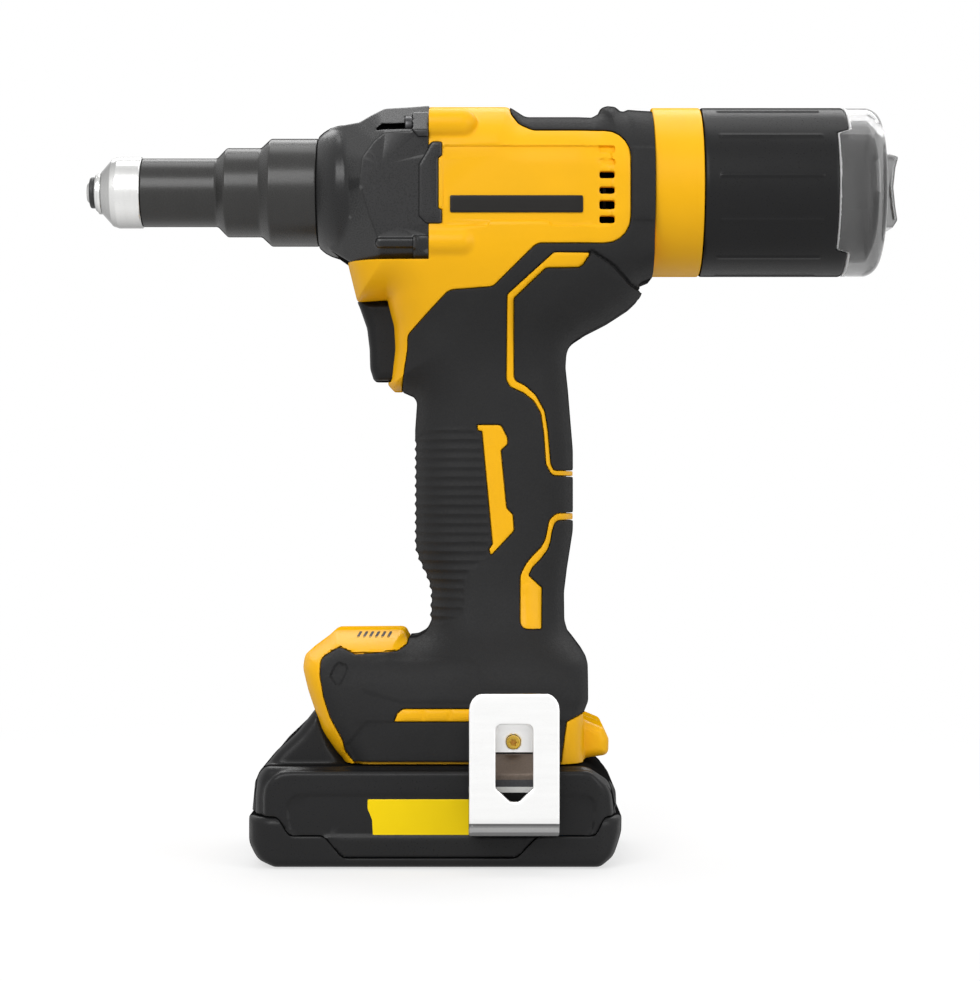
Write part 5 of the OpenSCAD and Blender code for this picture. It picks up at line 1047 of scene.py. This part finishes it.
def hook_screw_form(x, y, z):
    r, depth = np.hypot(x - HOOK_X, z - SCREW_Z), y - screw_low[1]
    head = joined(r - HOOK_HEAD_R, both(HOOK_HEAD_CROWN * r ** 2 - depth, depth - HOOK_T), 0.4)
    shank = joined(r - HOOK_SHANK_R, both(1 - depth, y - screw_high[1]), 0.2)
    turn = np.arctan2(z - SCREW_Z, x - HOOK_X)
    recess = both(r - LOBE_R - LOBE_UP * np.cos(LOBES * turn), depth - LOBE_DEPTH)
    return smax(either(head, shank), -recess, 0.15)


sculpt("hook_screw_head", hook_screw_form, screw_low - 0.3, screw_high + 0.3, 0.2, ZINC, "tool",
       "zinc_steel", "hook_screw")

# Battery pack
PACK_IN, PACK_PLAN_R, SHELL = 1, 10, 2.2
PACK_HALF = pack_high[1] - PACK_IN
UPPER_BOX = (-57, -38, 2), (57, 38, 46.5)
PACK_SCREW_BOX = (-53, -34, 1.5), (53, 34, 22)
RECESS, RECESS_SIDE, FACE_UP, FACE_START = 0.6, (30, 35), 1.8, 25
BUMP_HALF, SPLIT_GAP, PATCH_HALF = 25, 0.12, 0.15
RAMP_HALF, RAMP_LOW = 26.6, 15.5
RAMP_RIB_PITCH, RAMP_RIB_DOWN, RAMP_RIB_HALF, RAMP_RIB_HEIGHT = 3.4, 0.35, 12, (32, 44)
RAIL_X0, RAIL_X1 = -30.8, 37.6
NECK_Y, NECK_Z, NECK_UP = 19, 33, 4.6
LIP_Y, LIP_Z, LIP_UP = 22, 35.1, 2.5
BLADE_PITCH, BLADE_HALF, BLADE_FLOOR, BLADE_X = 8, 0.85, 32.3, (18.6, 60)
BLADES_Y, BLADES_HALF = 8, 7.5
OPENING_HALF, OPENING_Z, OPENING_UP, OPENING_END = 13.35, 21.5, 4.85, -46
POST_IN, POST_R = 7.5, 3.2
PACK_SCREW_Z, PACK_BORE, PACK_HOLE, PACK_HEAD_R, PACK_HEAD_UP = 1.8, 1.6, 1.65, 3, 2.3
PACK_BORE_TOP, NO_BORE = (24, 25), 20
LOWER_IN, LOWER_GAP, BOTTOM_GAP = 0.1, 0.1, 0.02
split_height = Curve(*seen(PACK_SPLIT, PACK_SIDE), spread=0.8)


def plan_form(x, y, inset):
    """Plan of the pack with round corners."""
    half_l, half_w, r = pack_high[0] - inset, pack_high[1] - inset, PACK_PLAN_R - inset
    return joined(np.abs(x) - half_l, np.abs(y) - half_w, r)


def screw_posts(x, y):
    """Distance from the line of the nearest pack screw."""
    return np.hypot(np.abs(x) - (pack_high[0] - POST_IN), np.abs(y) - (pack_high[1] - POST_IN))


def ramp_form(x, y, z):
    """The raised front of the pack, with slanted grooves between its sides."""
    groove = inside(np.abs(((z + x) / RAMP_RIB_PITCH) % 1 - 0.5) - 0.2, 0.2)
    groove = groove * inside(np.abs(y) - RAMP_RIB_HALF, 1)
    groove = groove * inside(z - RAMP_RIB_HEIGHT[1], 1) * inside(RAMP_RIB_HEIGHT[0] - z, 1)
    ramp = joined(pack_ramp(x, z), np.abs(y) - RAMP_HALF, 4) + RAMP_RIB_DOWN * groove
    return both(ramp, RAMP_LOW - z)


def rails_form(x, y, z):
    """The slide rail: a neck and wider lips."""
    ends = both(RAIL_X0 - x, x - RAIL_X1)
    neck, lips = (joined(np.abs(y) - half, ends, 0.8) for half in (NECK_Y, LIP_Y))
    return either(both(neck, np.abs(z - NECK_Z) - NECK_UP), joined(lips, np.abs(z - LIP_Z) - LIP_UP, 0.4))


def upper_shell_form(x, y, z):
    wide, away = np.abs(y), screw_posts(x, y)
    plan = joined(np.abs(x) - pack_high[0] + PACK_IN, wide - PACK_HALF + FACE_UP, PACK_PLAN_R)
    form = joined(pack_upper(x, z), plan, 3)
    face = joined(pack_face(x, z), plan_form(x, y, PACK_IN), 1.6)
    form = smin(form, both(face, FACE_START - wide), 0.6)
    form = form + RECESS * inside(label_recess(x, z), 0.8) * ease(wide, *RECESS_SIDE)
    form = smin(form, joined(pack_bump(x, z), wide - BUMP_HALF, 2), 0.6)
    form = smax(form, split_height(x) + SPLIT_GAP - z, 0.3)
    form = smin(form, ramp_form(x, y, z), 1.0)
    form = smin(form, rails_form(x, y, z), 0.3)
    row = y / BLADE_PITCH - 0.5
    blade = np.abs(row - np.round(row)) * BLADE_PITCH - BLADE_HALF
    blade = both(blade, np.abs(wide - BLADES_Y) - BLADES_HALF, BLADE_FLOOR - z)
    form = both(form, -both(blade, BLADE_X[0] - x, x - BLADE_X[1]))
    hollow = both(plan_form(x, y, PACK_IN + SHELL), z - PACK_H + SHELL, form + SHELL, POST_R - away)
    form = both(form, -hollow)
    opening = both(wide - OPENING_HALF, np.abs(z - OPENING_Z) - OPENING_UP, x - OPENING_END)
    form = smax(form, -opening, 0.3)
    return both(form, PACK_BORE - away - NO_BORE * ease(z, *PACK_BORE_TOP))


def lower_shell_form(x, y, z):
    away = screw_posts(x, y)
    form = joined(pack_lower(x, z), plan_form(x, y, LOWER_IN), 2.5)
    form = smax(form, z - split_height(x) + LOWER_GAP, 0.3)
    form = smax(form, BOTTOM_GAP - z, 0.4)
    form = both(form, -both(plan_form(x, y, PACK_IN + SHELL), SHELL - z, POST_R - away))
    return both(form, PACK_HOLE - away, either(PACK_HEAD_R - away, PACK_SCREW_Z + PACK_HEAD_UP - z))


def pack_screws_form(x, y, z):
    return sunk_screws(screw_posts(x, y), z - PACK_SCREW_Z, head_r=2.7, shank_r=1.5, shank_middle=10.5,
                       recess_r=1.2, recess=1.2)


def patch_form(x, y, z):
    """A plain patch on the left side, in the recess for a label."""
    return joined(label_patch(x, z), np.abs(y + PACK_HALF - RECESS) - PATCH_HALF, 0.08)


sculpt("battery_screws_sunk", pack_screws_form, *PACK_SCREW_BOX, 0.45, BLACK_STEEL, "battery", "black_steel",
       "battery_screws")
sculpt("battery_upper_shell_skin", upper_shell_form, *UPPER_BOX, 0.72, PACK, "battery", "pack_plastic",
       "battery_upper_shell")
sculpt("battery_lower_shell_skin", lower_shell_form, pack_low - 0.3, pack_high + 0.3, 0.66, PACK, "battery",
       "pack_plastic", "battery_lower_shell")
sculpt("pack_label", patch_form, *slab(label_patch, -PACK_HALF - 0.4, -PACK_HALF + 1.4), 0.4, LABEL_YELLOW,
       "battery", "yellow_plastic")

# Release button
button_low, button_high = corners("release_button")
BUTTON_Z = (button_low[2] + button_high[2]) / 2
BUTTON_IN, BUTTON_EDGE, BUTTON_RIB_PITCH, BUTTON_RIB_UP, BUTTON_RIB_HALF = 1.6, 1.4, 2.25, 0.5, 11
BUTTON_BORE, BUTTON_BORE_R, BUTTON_TRAVEL = 3.5, 3.5, 3.5
BUTTON_FLOOR = button_low[0] + BUTTON_BORE


def button_form(x, y, z):
    form = box(x, y, z, button_low + (BUTTON_IN, 0, 0), button_high, BUTTON_EDGE)
    ribs = 0.5 - 0.5 * np.cos(2 * math.pi * (z - button_low[2]) / BUTTON_RIB_PITCH)
    front = ease(-x, -button_low[0] - BUTTON_IN - BUTTON_EDGE, -button_low[0] - BUTTON_IN)
    form = form + BUTTON_RIB_UP * ribs * front * ease(BUTTON_RIB_HALF - np.abs(y), 0, 1)
    return both(form, -both(np.hypot(y, z - BUTTON_Z) - BUTTON_BORE_R, BUTTON_FLOOR - x))


coil("release_spring_pressed", "release_spring", BUTTON_FLOOR + BUTTON_TRAVEL + SPRING_GAP, wire=0.6,
     turns=4, body="battery")
sculpt("release_button_cap", button_form, button_low - 0.3, button_high + 0.3, 0.35, YELLOW, "release",
       "yellow_plastic", "release_button")

# Studio, in metres: white behind, pale floor, soft boxes
scene = bpy.context.scene
scene.view_settings.view_transform = "Standard"
# Light of the room below and above, the heights between which it changes, and the white that is seen
AMBIENT, AMBIENT_HEIGHT, WHITE = (0.16, 0.56), (-0.6, 0.8), 1.0
FLOOR_R, FLOOR_SIDES, FLOOR_Z = 0.7, 64, -0.0004
FLOOR_SHADOW, FLOOR_FADE = 0.35, (0.12, 0.45)
# Pale where it is seen, and a calmer grey for the light that it throws back
FLOOR_PALE, FLOOR_BOUNCE = 0.9, 0.45
TARGET = np.array((VIEW_X, 0, VIEW_Z)) * MM


def seen_rays(tree):
    """One for rays that show the backdrop: camera, glossy and transmission rays."""
    path = add_node(tree, "LightPath")
    total = path.outputs["Is Camera Ray"]
    for name in ("Is Glossy Ray", "Is Transmission Ray"):
        total = add_node(tree, "Math", {0: total, 1: path.outputs[name]}, operation="MAXIMUM").outputs[0]
    return total


world = bpy.data.worlds.new("studio")
scene.world = world
world.use_nodes = True
tree = world.node_tree
height = add_node(tree, "SeparateXYZ", {0: add_node(tree, "TexCoord").outputs["Generated"]})
ambient = ranged(tree, height.outputs["Z"], *AMBIENT, *AMBIENT_HEIGHT)
room, white = (add_node(tree, "Background", {"Color": grey(1), "Strength": strength}).outputs[0]
               for strength in (ambient, WHITE))
view = add_node(tree, "MixShader", {0: seen_rays(tree), 1: room, 2: white})
connect(tree, tree.nodes["World Output"], {"Surface": view.outputs[0]})

floor_mesh = bpy.data.meshes.new("floor")
rim = [2 * math.pi * k / FLOOR_SIDES for k in range(FLOOR_SIDES)]
floor_mesh.from_pydata([(FLOOR_R * math.cos(a), FLOOR_R * math.sin(a), FLOOR_Z) for a in rim], [],
                       [range(FLOOR_SIDES)])
floor = bpy.data.objects.new("floor", floor_mesh)
scene.collection.objects.link(floor)
pale = bpy.data.materials.new("pale_floor")
pale.use_nodes = True
tree = pale.node_tree
tree.nodes.remove(tree.nodes["Principled BSDF"])
bounce = add_node(tree, "LightPath").outputs["Is Diffuse Ray"]
matt = add_node(tree, "BsdfDiffuse", {"Color": mixed(tree, bounce, grey(FLOOR_PALE), grey(FLOOR_BOUNCE))})
far = add_node(tree, "VectorMath", {0: add_node(tree, "TexCoord").outputs["Object"]}, operation="LENGTH")
fade = ranged(tree, far.outputs["Value"], 1 - FLOOR_SHADOW, 1, *FLOOR_FADE, interpolation_type="SMOOTHSTEP")
share = add_node(tree, "Math", {0: seen_rays(tree), 1: fade}, operation="MULTIPLY")
glow = add_node(tree, "Emission")
shown = add_node(tree, "MixShader", {0: share.outputs[0], 1: matt.outputs[0], 2: glow.outputs[0]})
connect(tree, tree.nodes["Material Output"], {"Surface": shown.outputs[0]})
floor_mesh.materials.append(pale)


def soft_box(name, spot, width, height, power):
    """An area lamp that faces the middle of the tool."""
    lamp = bpy.data.lights.new(name, "AREA")
    lamp.shape = "RECTANGLE"
    lamp.size, lamp.size_y = width, height
    lamp.energy = power
    light = bpy.data.objects.new(name, lamp)
    scene.collection.objects.link(light)
    light.location = spot
    aim = TARGET - np.array(spot)
    yaw = math.atan2(aim[1], aim[0]) - math.pi / 2
    pitch = math.atan2(aim[2], math.hypot(aim[0], aim[1])) + math.pi / 2
    light.rotation_euler = (pitch, 0, yaw)


soft_box("key_box", (-0.5, -1.3, 0.95), 1.0, 0.8, 13.5)
soft_box("fill_box", (1.1, -1.0, 0.6), 0.8, 1.0, 6)
soft_box("top_box", (0.1, 0.15, 1.4), 1.2, 0.5, 4)
soft_box("back_box", (0.1, 0.95, 1.1), 1.6, 0.5, 9)

camera_data = bpy.data.cameras.new("camera")
camera = bpy.data.objects.new("camera", camera_data)
scene.collection.objects.link(camera)
camera_data.sensor_fit = "VERTICAL"
camera_data.sensor_height = SENSOR
camera_data.lens = SENSOR * CAMERA_FAR / (IMAGE_H / PX_PER_MM)
camera_data.clip_start, camera_data.clip_end = 0.05, 20
camera.location = (VIEW_X * MM, -CAMERA_FAR * MM, VIEW_Z * MM)
camera.rotation_euler = (math.pi / 2, 0, 0)
scene.camera = camera
